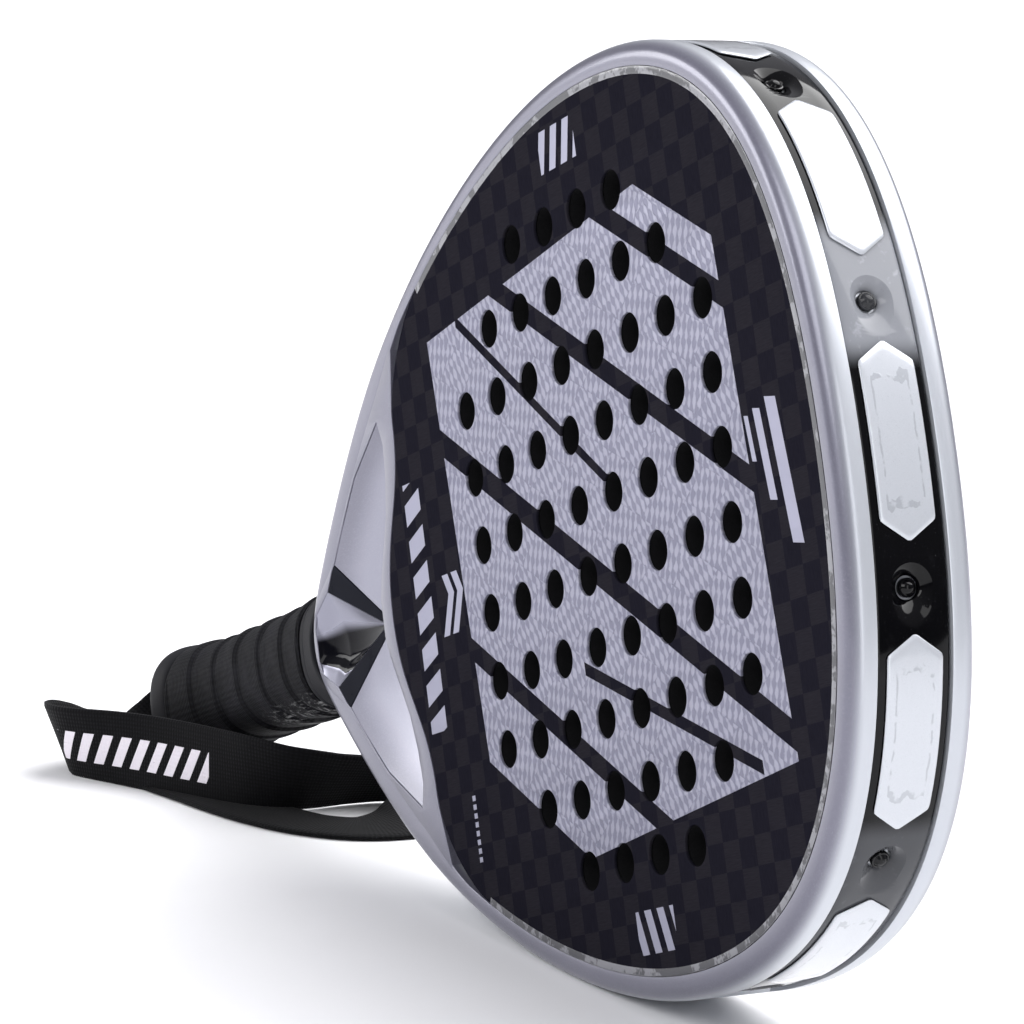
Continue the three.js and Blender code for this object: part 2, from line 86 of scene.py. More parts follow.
CHANNEL_HALF = 11.4
CHANNEL_DEPTH = 4.5
GUARD_REACH = 200.0
GUARD_TOP = 0.9
GUARD_HALF = 10.7
WINDOW_STEP = 75.0
WINDOW_HALF = 26.0
WINDOW_SHOULDER = 20.5
WINDOW_HALF_WIDTH = 8.3
DIMPLE_R = 6.3
NUB_R = 2.6

GRIP_U = -207.0
GRIP_END_U = -318.8
WRAP_PITCH = 19.0

STRAP_WIDTH = 26.0
STRAP_THICK = 1.8

MOUNT = next(m for m in frame["record"]["mounts"] if m["name"] == "front_face")
HEAD_X, HEAD_Z = MOUNT["pos_m"][0], MOUNT["pos_m"][2]


def leaned(points):
    """Flat racket coordinates in mm to the row frame in metres: u and v turned up by LEAN about
    the thickness, and w pointing out of the front face towards -y."""
    u, v, w = np.moveaxis(np.asarray(points, float), -1, 0) / 1000
    x = HEAD_X + math.cos(LEAN) * u - math.sin(LEAN) * v
    z = HEAD_Z + math.sin(LEAN) * u + math.cos(LEAN) * v
    return np.stack([x, -w, z], -1)


# ---------------------------------------------------------------- camera

CAMERA_AT = (1.05014, -0.55618, 0.29525)
CAMERA_ALONG = (-0.873074, 0.465355, -0.145558)
CAMERA_ROLL = math.radians(1.9245)
CAMERA_LENS = 141.44

camera_data = bpy.data.cameras.new("camera")
camera_data.lens = CAMERA_LENS
camera_data.sensor_width = 36
camera_data.clip_start = 0.05
camera_data.clip_end = 200
camera = bpy.data.objects.new("camera", camera_data)
bpy.context.scene.collection.objects.link(camera)
along = Vector(CAMERA_ALONG).normalized()
camera.rotation_mode = "QUATERNION"
upright = along.to_track_quat("-Z", "Y")
turn = Matrix.Rotation(CAMERA_ROLL, 3, "Z").to_quaternion()
camera.rotation_quaternion = upright @ turn
camera.location = CAMERA_AT
bpy.context.scene.camera = camera

# ---------------------------------------------------------------- shader tools


class Signal:
    """A shader value. Arithmetic on it adds Math nodes to its finish."""

    def __init__(self, finish, socket):
        self.finish = finish
        self.socket = socket

    def math(self, operation, *others):
        """One Math node of this operation, on this value and the others."""
        node = self.finish.add("ShaderNodeMath", {"operation": operation})
        for i, value in enumerate((self, *others)):
            self.finish.feed(node, i, value)
        return Signal(self.finish, node.outputs[0])

    def __add__(self, other):
        return self.math("ADD", other)

    def __sub__(self, other):
        return self.math("SUBTRACT", other)

    def __mul__(self, other):
        return self.math("MULTIPLY", other)

    def __rsub__(self, other):
        return self.math("MULTIPLY", -1.0).math("ADD", other)

    def __truediv__(self, other):
        return self.math("DIVIDE", other)

    def __gt__(self, other):
        return self.math("GREATER_THAN", other)

    def __lt__(self, other):
        return self.math("LESS_THAN", other)

    __radd__ = __add__
    __rmul__ = __mul__

    def near(self, middle, reach):
        """1 where the value is within reach of middle."""
        return self.math("COMPARE", middle, reach)

    def either(self, other):
        """The larger of two values: their union, where both are 0 or 1."""
        return self.math("MAXIMUM", other)

    def ramp(self, start, end):
        """Eases from 0 at start to 1 at end."""
        low, high = min(start, end), max(start, end)
        node = self.finish.add(
            "ShaderNodeMapRange",
            {"interpolation_type": "SMOOTHSTEP"},
            {0: self, 1: low, 2: high, 3: float(start > end), 4: float(start < end)},
        )
        return Signal(self.finish, node.outputs[0])


class Finish:
    """One material on a Principled shader. Uniform values go on its sockets by name."""

    def __init__(self, name, **uniform):
        self.material = bpy.data.materials.new(name)
        self.material.use_nodes = True
        self.tree = self.material.node_tree
        self.shader = self.tree.nodes["Principled BSDF"]
        for key, value in uniform.items():
            self.shader.inputs[key.replace("_", " ")].default_value = value

    def add(self, kind, settings=None, values=None):
        """A node of this type: its settings first, then values or links on its sockets."""
        node = self.tree.nodes.new(kind)
        for key, value in (settings or {}).items():
            setattr(node, key, value)
        for key, value in (values or {}).items():
            self.feed(node, key, value)
        return node

    def feed(self, node, key, value):
        """Links or sets one socket. A tuple on a colour socket is given full alpha."""
        socket = node.inputs[key]
        if isinstance(value, Signal):
            value = value.socket
        if isinstance(value, bpy.types.NodeSocket):
            self.tree.links.new(value, socket)
        elif isinstance(value, tuple) and socket.type == "RGBA":
            socket.default_value = (*value, 1.0)
        else:
            socket.default_value = value

    def set(self, key, value):
        """Feeds one socket of the shader."""
        self.feed(self.shader, key, value)

    def flat_place(self):
        """Flat racket coordinates in mm, as the vector (u, -w, v)."""
        place = self.add("ShaderNodeTexCoord").outputs["Object"]
        mapping = self.add("ShaderNodeMapping", {"vector_type": "TEXTURE"}, {"Vector": place})
        mapping.inputs["Location"].default_value = (HEAD_X, 0, HEAD_Z)
        mapping.inputs["Rotation"].default_value = (0, -LEAN, 0)
        mapping.inputs["Scale"].default_value = (0.001, 0.001, 0.001)
        return mapping.outputs[0]

    def own_uv(self):
        """The piece's own UV."""
        return self.add("ShaderNodeUVMap", {"uv_map": "UVMap"}).outputs[0]

    def split(self, vector):
        """The three parts of a vector."""
        node = self.add("ShaderNodeSeparateXYZ", None, {0: vector})
        return [Signal(self, out) for out in node.outputs]

    def join(self, x, y):
        """A vector of two values and zero."""
        return self.add("ShaderNodeCombineXYZ", None, {0: x, 1: y, 2: 0.0}).outputs[0]

    def noise(self, vector, scale, detail=2.0, roughness=0.5):
        """Smooth noise from 0 to 1."""
        values = {"Vector": vector, "Scale": scale, "Detail": detail, "Roughness": roughness}
        return Signal(self, self.add("ShaderNodeTexNoise", None, values).outputs[0])

    def mix(self, share, a, b):
        """Colour a where share is 0 and b where it is 1."""
        node = self.add("ShaderNodeMix", {"data_type": "RGBA"}, {0: share, 6: a, 7: b})
        return node.outputs[2]

    def bump(self, height, strength, distance):
        """distance is in metres for a height of 1."""
        node = self.add("ShaderNodeBump", None, {"Height": height})
        node.inputs["Strength"].default_value = strength
        node.inputs["Distance"].default_value = distance
        return node.outputs[0]


# ---------------------------------------------------------------- finishes

TOW_U, TOW_V = 8.2, 8.0
CELL = 12.0
PRINT_MIDDLE, PRINT_HALF = 313.0, 32.0


def silver_lacquer(name, paler_lit_colour):
    """Satin silver paint with fine flake, a little orange peel and faint long clouds. It eases
    from lavender on the flat to a paler colour below it, on the outer wall and the deep well
    floors: painted light, standing for the light that falls there."""
    finish = Finish(name, Coat_Weight=0.3, Coat_Roughness=0.12, Metallic=0.4)
    place = finish.flat_place()
    _, depth, _ = finish.split(place)
    clouds = finish.noise(place, 0.03, 3)
    flake = finish.noise(place, 6.0, 2)
    peel = finish.noise(place, 0.9, 2)
    flat = finish.mix(clouds, (0.125, 0.125, 0.165), (0.175, 0.172, 0.22))
    # Painted light: below the flat, the colour turns paler to stand for the light on the outer wall
    # and the well floors.
    base = finish.mix(depth.math("ABSOLUTE").ramp(18.4, 14.5), flat, paler_lit_colour)
    finish.set("Base Color", finish.mix(flake.ramp(0.55, 0.75) * 0.3, base, (0.6, 0.6, 0.66)))
    finish.set("Roughness", 0.26 + flake * 0.14)
    finish.set("Normal", finish.bump(peel * 0.6 + flake * 0.2, 0.25, 0.00006))
    return finish


def graphics(u, v):
    """Silver panels and pale marks, all plain slanted bars: 1 where there is print. A bar is
    the span of one slanted distance q crossed with a span of v or u."""
    q = v * 0.84 + u * 0.54
    panel = q.near(-76.0, 12.0).either(q.near(-36.0, 22.0))
    panel = panel.either(q.near(17.0, 24.0)).either(q.near(64.0, 17.0)).either(q.near(92.0, 5.0))
    panel = panel * (u + v * 0.06).near(-1.0, 84.0) * (v - u * 0.1).near(0.0, 84.0)
    slash = (q - u * 0.16).near(-36.0, 1.6) * u.near(26.0, 44.0)
    slash = slash.either((q + u * 0.14).near(17.0, 1.5) * u.near(-28.0, 42.0))
    panel = panel * (1.0 - slash)
    column = ((v - u * 0.35 + 300.0) / 11.0).math("FRACT").near(0.5, 0.3)
    column = column * u.near(-112.0, 5.2) * v.near(-1.0, 38.0)
    bent = u + v.math("ABSOLUTE") * 0.5
    mark = bent.near(-87.5, 1.9).either(bent.near(-93.5, 1.9)) * v.near(-3.0, 9.0)
    small = u.near(-95.0, 1.0) * (v / 2.6).math("FRACT").near(0.5, 0.3) * v.near(-70.0, 10.0)
    for side in (-1.0, 1.0):
        dash = (u - v * 0.3 * side) / 7.0
        dash = dash.math("FRACT").near(0.5, 0.27) * v.near(110.0 * side, 6.0) * u.near(3.5, 10.5)
        small = small.either(dash)
    along, across = v + u * 0.2, u + v * 0.12
    tip = along.near(18.0, 19.0) * across.near(99.0, 2.6)
    tip = tip.either(along.near(22.0, 12.0) * across.near(91.5, 1.7))
    tip = tip.either(along.near(26.0, 6.0) * across.near(86.0, 1.0))
    return panel, column.either(mark).either(small).either(tip)


def carbon_face():
    """Spread tow carbon in squares under lacquer, with embossed silver panels. The tow of each
    square runs along u or v by turns. The panels are cut into cells by two slanted families of
    lines, and the ridges of each cell, a product of slow waves and noise, lean by turns."""
    finish = Finish("carbon_face", Specular_IOR_Level=0.0)
    place = finish.flat_place()
    u, _, v = finish.split(place)
    column = ((u + 160.4) / TOW_U).math("FLOOR")
    row = ((v + 162.9) / TOW_V).math("FLOOR")
    odd = ((column + row) / 2.0).math("FRACT") > 0.25
    tow_u = finish.noise(finish.join(u * 0.25, v * 3.0), 1.0, 3, 0.6)
    tow_v = finish.noise(finish.join(u * 3.0, v * 0.25), 1.0, 3, 0.6)
    tow = tow_u * odd + tow_v * (1.0 - odd)
    worn = finish.noise(place, 0.05, 2)
    cool = finish.mix(tow, (0.0065, 0.0063, 0.0105), (0.015, 0.0145, 0.021))
    warm = finish.mix(tow, (0.011, 0.0105, 0.014), (0.024, 0.0225, 0.028))
    weave = finish.mix(odd * (0.55 + worn * 0.6), cool, warm)

    panel, marks = graphics(u, v)
    cell_a = (u * 0.5 + v * 0.866) / CELL
    cell_b = (u * 0.5 - v * 0.866) / CELL
    lean_cell = ((cell_a.math("FLOOR") + cell_b.math("FLOOR")) / 2.0).math("FRACT") > 0.25
    wobble = finish.noise(place, 0.35, 2) * 3.0
    grain = finish.noise(place, 0.7, 2, 0.5)
    dash_a = ((u + v * 0.42) * 2.1 + wobble).math("SINE") * 0.3 + grain * 0.55
    ridge_a = dash_a + 0.2 + (v * 1.35 - u * 0.4 + wobble).math("SINE") * 0.2
    dash_b = ((u - v * 0.36) * 2.1 + wobble).math("SINE") * 0.3 + grain * 0.55
    ridge_b = dash_b + 0.2 + (v * 1.35 + u * 0.4 + wobble).math("SINE") * 0.2
    ridge = ridge_a * lean_cell + ridge_b * (1.0 - lean_cell)
    seams = cell_a.math("FRACT").near(0.0, 0.035) + cell_b.math("FRACT").near(0.0, 0.035)
    relief_and_shade = ridge.ramp(0.32, 0.68) - seams * 0.35
    # Painted light and shade: the silver is paler on the emboss's ridges and darker in its valleys
    # and seams.
    silver = finish.mix(relief_and_shade, (0.20, 0.20, 0.26), (0.31, 0.31, 0.38))
    printed = panel.either(marks)
    colour = finish.mix(printed, weave, silver)
    finish.set("Base Color", finish.mix(marks, colour, (0.32, 0.32, 0.40)))
    finish.set("Metallic", printed * 0.25)
    finish.set("Roughness", 0.40 + printed * 0.06 - tow * 0.08)
    height = relief_and_shade * panel + tow * 0.06 * (1.0 - printed) + printed * 0.25
    finish.set("Normal", finish.bump(height, 0.6, 0.00028))
    return finish


def edge_lacquer():
    """The trimmed edge of the cloth under lacquer: dark, with grey chips in broken dashes."""
    finish = Finish("edge_lacquer", Coat_Weight=0.4, Coat_Roughness=0.1)
    along_edge, across, _ = finish.split(finish.own_uv())
    chips = finish.noise(finish.join(along_edge * 0.16, across * 0.5), 1.0, 3, 0.65)
    broad = finish.noise(finish.join(along_edge * 0.02, 0.0), 1.0, 1)
    grey = (chips + broad * 0.5 - 0.25).ramp(0.47, 0.56)
    fine = finish.noise(finish.join(along_edge * 1.3, across * 1.3), 1.0, 2)
    colour = finish.mix(grey, (0.03, 0.03, 0.038), (0.17, 0.17, 0.19))
    finish.set("Base Color", finish.mix(fine.ramp(0.62, 0.75), colour, (0.01, 0.01, 0.012)))
    finish.set("Roughness", 0.5 - grey * 0.15)
    finish.set("Normal", finish.bump(chips, 0.5, 0.0001))
    return finish


def guard_gloss(name, pale_share):
    """Black gloss moulding with a few dull rubbed patches and specks of dust. A grey band painted
    on the upper side, and a fainter one low down, stand for the overhead light mirrored in the
    gloss: painted reflection, as strong as the share given as the second argument."""
    finish = Finish(name, Coat_Weight=0.1, Coat_Roughness=0.03, Specular_IOR_Level=0.15)
    place = finish.flat_place()
    rubbed = finish.noise(place, 0.22, 3, 0.6).ramp(0.58, 0.72)
    dust = finish.noise(place, 3.2, 1).ramp(0.74, 0.8)
    base = finish.mix(rubbed * 0.5, (0.001, 0.001, 0.0015), (0.004, 0.004, 0.005))
    _, _, v = finish.split(place)
    # Painted reflection: a grey band on the upper side, and a fainter one low down, stand for the
    # overhead light mirrored in the black gloss.
    painted_reflection_band = v.ramp(18.0, 27.0) * v.ramp(62.0, 52.0) + v.ramp(-92.0, -98.0) * 0.25
    base = finish.mix(painted_reflection_band * (0.75 + rubbed * 0.25) * pale_share, base, (0.30, 0.31, 0.34))
    finish.set("Base Color", finish.mix(dust * 0.5, base, (0.10, 0.10, 0.11)))
    finish.set("Roughness", 0.08 + rubbed * 0.06 + dust * 0.2)
    finish.set("Normal", finish.bump(finish.noise(place, 0.12, 1), 0.25, 0.0002))
    return finish


def window_silver():
    """Silver paint seen through clear plastic, with the faint outline where the two touch."""
    finish = Finish("window_silver", Metallic=0.3, Coat_Weight=1.0, Coat_Roughness=0.04)
    a, b, _ = finish.split(finish.own_uv())
    place = finish.flat_place()
    wave = finish.noise(place, 0.25, 2) * 3.0
    reach = (a.math("ABSOLUTE") * 0.30 + wave * 0.35).math("MAXIMUM", b.math("ABSOLUTE"))
    contact = (reach + wave * 0.4).near(6.1, 0.28) * finish.noise(place, 0.3, 2).ramp(0.42, 0.55)
    flake = finish.noise(place, 5.0, 2)
    base = finish.mix(flake, (0.42, 0.44, 0.48), (0.56, 0.58, 0.62))
    finish.set("Base Color", finish.mix(contact * 0.5, base, (0.26, 0.27, 0.30)))
    finish.set("Roughness", 0.24 + flake * 0.12)
    finish.set("Normal", finish.bump(contact + finish.noise(place, 0.2, 2), 0.3, 0.00012))
    return finish


def navy_inlay():
    """Very dark blue gloss lacquer."""
    finish = Finish("navy_inlay", Specular_IOR_Level=0.02)
    place = finish.flat_place()
    pale_share = finish.noise(place, 0.15, 2)
    finish.set("Base Color", finish.mix(pale_share, (0.007, 0.0075, 0.012), (0.013, 0.014, 0.02)))
    finish.set("Roughness", 0.24 + pale_share * 0.1)
    return finish


def trough_gloss():
    """The middle trough: silver on the upper side, fading into a black band, then silver again
    on the facet below the crest. The black band is a painted dark reflection, standing for what
    the curved gloss mirrors. The piece's UV holds t and its height above the crest."""
    finish = Finish("trough_gloss", Specular_IOR_Level=0.1)
    place = finish.flat_place()
    t, over, _ = finish.split(finish.own_uv())
    # Outside this mask the trough is black: a painted dark reflection in its curved gloss.
    silver = t.ramp(0.1, 0.42).either(over < 0.012)
    flake = finish.noise(place, 6.0, 2)
    paint = finish.mix(flake, (0.24, 0.24, 0.30), (0.32, 0.32, 0.38))
    finish.set("Base Color", finish.mix(silver, (0.003, 0.003, 0.005), paint))
    finish.set("Metallic", silver * 0.5)
    finish.set("Roughness", 0.12 + silver * 0.16)
    return finish


def grip_wrap():
    """Perforated wrap with a fine woven grid, paler on the raised edges and frayed below."""
    finish = Finish("grip_wrap", Sheen_Weight=0.01, Sheen_Roughness=0.4, Specular_IOR_Level=0.12)
    finish.shader.inputs["Sheen Tint"].default_value = (0.8, 0.8, 0.95, 1)
    a, b, _ = finish.split(finish.own_uv())
    place = finish.flat_place()
    u, _, v = finish.split(place)
    lines = (a * (2 * math.pi / 1.15)).math("SINE") * 0.5 + 0.5
    rows = (b * (2 * math.pi / 1.7)).math("SINE") * 0.5 + 0.5
    worn = finish.noise(place, 0.09, 3, 0.6)
    thread = finish.noise(place, 1.6, 3, 0.6)
    fray = finish.noise(finish.join(u * 0.35, v * 0.9), 1.0, 4, 0.7)
    low_side = (v + 10.0).ramp(0.0, -9.0) * (u + 262.0).ramp(0.0, 30.0)
    base = finish.mix(lines * rows, (0.0012, 0.0012, 0.002), (0.006, 0.006, 0.009))
    base = finish.mix(worn.ramp(0.45, 0.75) * 0.5, base, (0.013, 0.0125, 0.017))
    frayed = fray.ramp(0.50, 0.72) * low_side
    finish.set("Base Color", finish.mix(frayed, base, (0.34, 0.34, 0.34)))
    finish.set("Roughness", 0.62 + thread * 0.2)
    finish.set("Normal", finish.bump(lines * 0.6 + rows * 0.5 + thread * 0.5, 0.55, 0.0003))
    return finish


def soft_rubber():
    """Smooth dark rubber with a fine grain."""
    finish = Finish("soft_rubber", Specular_IOR_Level=0.15)
    place = finish.flat_place()
    grain = finish.noise(place, 2.5, 3)
    finish.set("Base Color", finish.mix(grain, (0.006, 0.006, 0.008), (0.014, 0.014, 0.017)))
    finish.set("Roughness", 0.5 + grain * 0.2)
    finish.set("Normal", finish.bump(grain, 0.4, 0.00008))
    return finish


def webbing():
    """Black woven band: ribs across it, cords along it, and pale slanted bars printed on the
    stretch that faces forward."""
    finish = Finish("webbing", Sheen_Weight=0.04, Sheen_Roughness=0.4, Specular_IOR_Level=0.15)
    a, b, _ = finish.split(finish.own_uv())
    rib = (a * (2 * math.pi / 1.1)).math("SINE") * 0.5 + 0.5
    cord = (b * (2 * math.pi / 1.4) + rib * 1.5).math("SINE") * 0.5 + 0.5
    fluff = finish.noise(finish.join(a * 1.2, b * 1.2), 1.0, 3, 0.7)
    base = finish.mix(rib * cord, (0.0012, 0.0012, 0.0018), (0.005, 0.005, 0.0065))
    run = (a + b * 0.45) / 7.5
    bars = run.math("FRACT").near(0.5, 0.27) * b.near(-1.0, 5.4)
    band = bars * a.near(PRINT_MIDDLE, PRINT_HALF)
    ink = band * fluff.ramp(0.22, 0.34)
    finish.set("Base Color", finish.mix(ink, base, (0.72, 0.68, 0.74)))
    finish.set("Roughness", 0.85 - ink * 0.15)
    finish.set("Normal", finish.bump(rib * 0.5 + cord * 0.4 + fluff * 0.4 + ink * 0.4, 0.6, 0.0003))
    return finish


def foam():
    """Black closed-cell foam with fine pores, seen inside the holes."""
    finish = Finish("foam", Specular_IOR_Level=0.2)
    pores = finish.noise(finish.flat_place(), 1.6, 3)
    finish.set("Base Color", finish.mix(pores, (0.0015, 0.0015, 0.002), (0.006, 0.006, 0.007)))
    finish.set("Roughness", 0.85 + pores * 0.1)
    finish.set("Normal", finish.bump(pores, 0.5, 0.0002))
    return finish


# ---------------------------------------------------------------- meshes


def piece(name, points, faces, finish, node, uv=None, crease=35):
    """A mesh in the row frame that rides on the racket and stands for a CAD node. Edges
    sharper than crease degrees are shaded as edges."""
    mesh = bpy.data.meshes.new(name)
    mesh.from_pydata(points.reshape(-1, 3).tolist(), [], faces.tolist())
    if uv is not None:
        layer = mesh.uv_layers.new(name="UVMap")
        layer.data.foreach_set("uv", uv.astype(np.float32).ravel())
    return dressed(name, mesh, finish, node, crease)


def dressed(name, mesh, finish, node, crease=35):
    """Makes an object of the mesh, with its finish, and declares what it rides on."""
    mesh.validate()
    mesh.polygons.foreach_set("use_smooth", np.ones(len(mesh.polygons), bool))
    mesh.set_sharp_from_angle(angle=math.radians(crease))
    mesh.update()
    obj = bpy.data.objects.new(name, mesh)
    bpy.context.scene.collection.objects.link(obj)
    mesh.materials.append(finish.material)
    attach(obj, "root")
    if node:
        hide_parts(*([node] if isinstance(node, str) else node))
    return obj


def grid_faces(rows, columns, row_loop, column_loop):
    """Quads of a grid of points, as corner indices and as (row, column) pairs for its UVs."""
    i, j = np.meshgrid(
        np.arange(rows if row_loop else rows - 1),
        np.arange(columns if column_loop else columns - 1),
        indexing="ij",
    )
    i, j = i.ravel(), j.ravel()
    corners = [(i, j), (i, j + 1), (i + 1, j + 1), (i + 1, j)]
    index = np.stack([(a % rows) * columns + b % columns for a, b in corners], 1)
    return index, corners


def sheet_of(name, grid, finish, node, row_loop=False, uv=None, crease=35, lean=True):
    """A closed skin from rows of points. Each row is a loop. Rows either close on themselves
    or shrink to a point at both ends. The order is turned round if its volume is negative.
    uv is a pair of functions of (row, column) arrays."""
    grid = np.asarray(grid, float)
    rows, columns = grid.shape[:2]
    index, corners = grid_faces(rows, columns, row_loop, True)
    points = leaned(grid) if lean else grid
    points = points.reshape(-1, 3)
    a, b, c, d = (points[index[:, k]] for k in range(4))
    volume = np.einsum("ij,ij->", a, np.cross(b, c)) + np.einsum("ij,ij->", a, np.cross(c, d))
    if volume < 0:
        index = index[:, ::-1]
        corners = corners[::-1]
    loops = None
    if uv is not None:
        loops = np.stack([np.stack([uv[0](*p), uv[1](*p)], -1) for p in corners], 1)
    obj = piece(name, points, index, finish, node, loops, crease)
    if not row_loop:
        merged(obj.data)
    return obj


def merged(mesh, distance=1e-7):
    """Welds doubled points and drops faces that have shrunk to nothing."""
    bm = bmesh.new()
    bm.from_mesh(mesh)
    bmesh.ops.remove_doubles(bm, verts=bm.verts, dist=distance)
    bmesh.ops.dissolve_degenerate(bm, edges=bm.edges, dist=distance)
    bm.to_mesh(mesh)
    bm.free()


def outward(mesh):
    """Turns the faces of a closed mesh to point out."""
    bm = bmesh.new()
    bm.from_mesh(mesh)
    bmesh.ops.recalc_face_normals(bm, faces=bm.faces)
    bm.to_mesh(mesh)
    bm.free()


def capped(grid):
    """The rows with a shrunken row before and after them, at the middle of each end row."""
    first, last = (np.repeat(grid[k].mean(0)[None, None], grid.shape[1], 1) for k in (0, -1))
    return np.concatenate([first, grid, last])


def plate_of(name, outline, holes, low, high, bevel, finish, node):
    """A flat plate between w = low and w = high with rounded rims: a filled flat curve with a
    bevel, made a mesh, then leaned into place."""
    flat = bpy.data.curves.new(name, "CURVE")
    flat.dimensions = "2D"
    flat.fill_mode = "BOTH"
    flat.extrude = (high - low) / 2 - bevel
    flat.bevel_depth = bevel
    flat.bevel_resolution = 1
    flat.offset = -bevel
    for ring in (outline, *holes):
        spline = flat.splines.new("POLY")
        spline.points.add(len(ring) - 1)
        full = np.column_stack([ring, np.zeros(len(ring)), np.ones(len(ring))])
        spline.points.foreach_set("co", full.astype(np.float32).ravel())
        spline.use_cyclic_u = True
    temporary = bpy.data.objects.new(name + "_flat", flat)
    bpy.context.scene.collection.objects.link(temporary)
    graph = bpy.context.evaluated_depsgraph_get()
    mesh = bpy.data.meshes.new_from_object(temporary.evaluated_get(graph))
    bpy.data.objects.remove(temporary)
    merged(mesh, 1e-3)
    co = np.zeros(len(mesh.vertices) * 3, np.float32)
    mesh.vertices.foreach_get("co", co)
    co = co.reshape(-1, 3).astype(float)
    co[:, 2] += (low + high) / 2
    mesh.vertices.foreach_set("co", leaned(co).astype(np.float32).ravel())
    outward(mesh)
    return dressed(name, mesh, finish, node)


# ---------------------------------------------------------------- the outer edge


def bezier(points, count):
    """A cubic curve through four control points, sampled at count even steps without its end."""
    t = np.linspace(0, 1, count, endpoint=False)[:, None]
    a, b, c, d = np.asarray(points, float)
    return a * (1 - t) ** 3 + 3 * b * t * (1 - t) ** 2 + 3 * c * t**2 * (1 - t) + d * t**3


def outer_edge():
    """The outline from the tip over the upper side to the nose, then mirrored back."""
    w = HALF_WIDTH
    upper = [
        [(TIP_U, 0), (TIP_U, 83), (93, w), (WIDEST_U, w)],
        [(WIDEST_U, w), (-32, w), (-87.5, 108.4), (-128, 79)],
        [(-128, 79), (-148, 64.5), (-170, 41), (-184, 24)],
        [(-184, 24), (-191, 15.5), (NOSE_U, 9), (NOSE_U, 0)],
    ]
    half = np.concatenate([bezier(curve, 600) for curve in upper] + [[(NOSE_U, 0)]])
    lower = half[-2:0:-1] * [1, -1]
    return np.concatenate([half, lower, half[:1]])


EDGE = outer_edge()
EDGE_S = np.concatenate([[0], np.cumsum(np.linalg.norm(np.diff(EDGE, axis=0), axis=1))])
PERIMETER = EDGE_S[-1]


def inset(s, d):
    """The point d mm inside the outer edge at s: the edge moved against its outward normal."""
    s, d = np.broadcast_arrays(np.asarray(s, float), d)
    (u, u_next, u_last), (v, v_next, v_last) = (
        [np.interp((s + shift) % PERIMETER, EDGE_S, EDGE[:, k]) for shift in (0, 1, -1)]
        for k in (0, 1)
    )
    tangent = np.stack([u_next - u_last, v_next - v_last], -1)
    tangent /= np.linalg.norm(tangent, axis=-1, keepdims=True)
    normal = np.stack([tangent[..., 1], -tangent[..., 0]], -1)
    return np.stack([u, v], -1) - normal * d[..., None]


def ease(start, end, value):
    """0 at start and 1 at end, level at both: 3t^2 - 2t^3."""
    t = np.clip((value - start) / (end - start), 0, 1)
    return t * t * (3 - 2 * t)


def border_at(s):
    """Width of the painted border: narrow round the head, wide in the throat, slim at the nose."""
    u = inset(s, 0)[..., 0]
    side = BORDER_HEAD + (BORDER_THROAT - BORDER_HEAD) * ease(-108, -138, u)
    return side + (BORDER_NOSE - side) * ease(-178, -193, u)


def round_edge(s, w, d):
    """Points at edge position s, height w and depth d, as arrays of one shape."""
    s, w, d = np.broadcast_arrays(s, w, d)
    return np.concatenate([inset(s, d), w[..., None]], -1)


# ---------------------------------------------------------------- frame


def frame_shell(finish):
    """The tube's section carried round the edge. From the guard's channel it runs over the
    outer wall and a quarter round to the flat border, and down the inner wall."""
    s = np.linspace(0, PERIMETER, 720, endpoint=False)[:, None]
    from_tip = np.minimum(s, PERIMETER - s)
    channel = CHANNEL_DEPTH * ease(GUARD_REACH + 1.5, GUARD_REACH + 0.5, from_tip)
    border = border_at(s)
    turn = np.radians(np.linspace(0, 90, 11))
    round_d = EDGE_ROUND * (1 - np.cos(turn))
    round_w = HALF_THICK - EDGE_ROUND * (1 - np.sin(turn))
    one = np.ones_like(s)
    half_d = [channel, channel, 0.12 * one, 0.0 * one]
    half_w = [0.0 * one, *((CHANNEL_HALF + k) * one for k in (-0.4, -0.1, 0.2))]
    half_d += [k * one for k in round_d] + [border - 0.35, border - 0.1, border, border]
    half_w += [k * one for k in round_w]
    half_w += [HALF_THICK * one, (HALF_THICK - 0.1) * one, (HALF_THICK - 0.35) * one, 8.0 * one]
    d = np.concatenate([*half_d, *half_d[:0:-1]], 1)
    w = np.concatenate([*half_w, *[-k for k in half_w[:0:-1]]], 1)
    grid = round_edge(s, w, d)
    sheet_of("frame_shell", grid, finish, "frame", row_loop=True)


def lacquer_line(name, side, finish):
    """A thin band of lacquer over the joint between a face and the frame, as a flat loop."""
    s = np.linspace(-312, 312, 640)[:, None]
    depth = np.array([[0.05, 0.3, 2.1, 2.3, 2.1, 0.3]])
    lift = np.array([[0.0, 0.035, 0.03, -0.02, -0.04, -0.04]])
    grid = round_edge(s + PERIMETER, side * (HALF_THICK + lift), BORDER_HEAD + depth)
    place = (lambda i, j: i * 0.975, lambda i, j: np.where(j == 0, 6, j) * 0.5 + side * 20)
    sheet_of(name, capped(grid), finish, None, uv=place)


# ---------------------------------------------------------------- faces and core


def face_outline():
    """Parallel to the frame round the head, then a shouldered S across the throat."""
    reach = 314.0
    head = inset(np.linspace(-reach, reach, 260) + PERIMETER, BORDER_HEAD + GAP)
    first = head[-1]
    run = head[-1] - head[-2]
    run /= np.linalg.norm(run)
    corner = bezier([first, first + run * 10, (-118.6, 70), (-118.6, 57)], 12)[1:]
    bulge = bezier([(-118.6, 57), (-118.6, 32), (-134, 26), (-134, 0)], 24)
    upper = np.concatenate([corner, bulge])
    lower = upper[::-1] * [1, -1]
    return np.concatenate([head, upper, [(-134.0, 0.0)], lower])


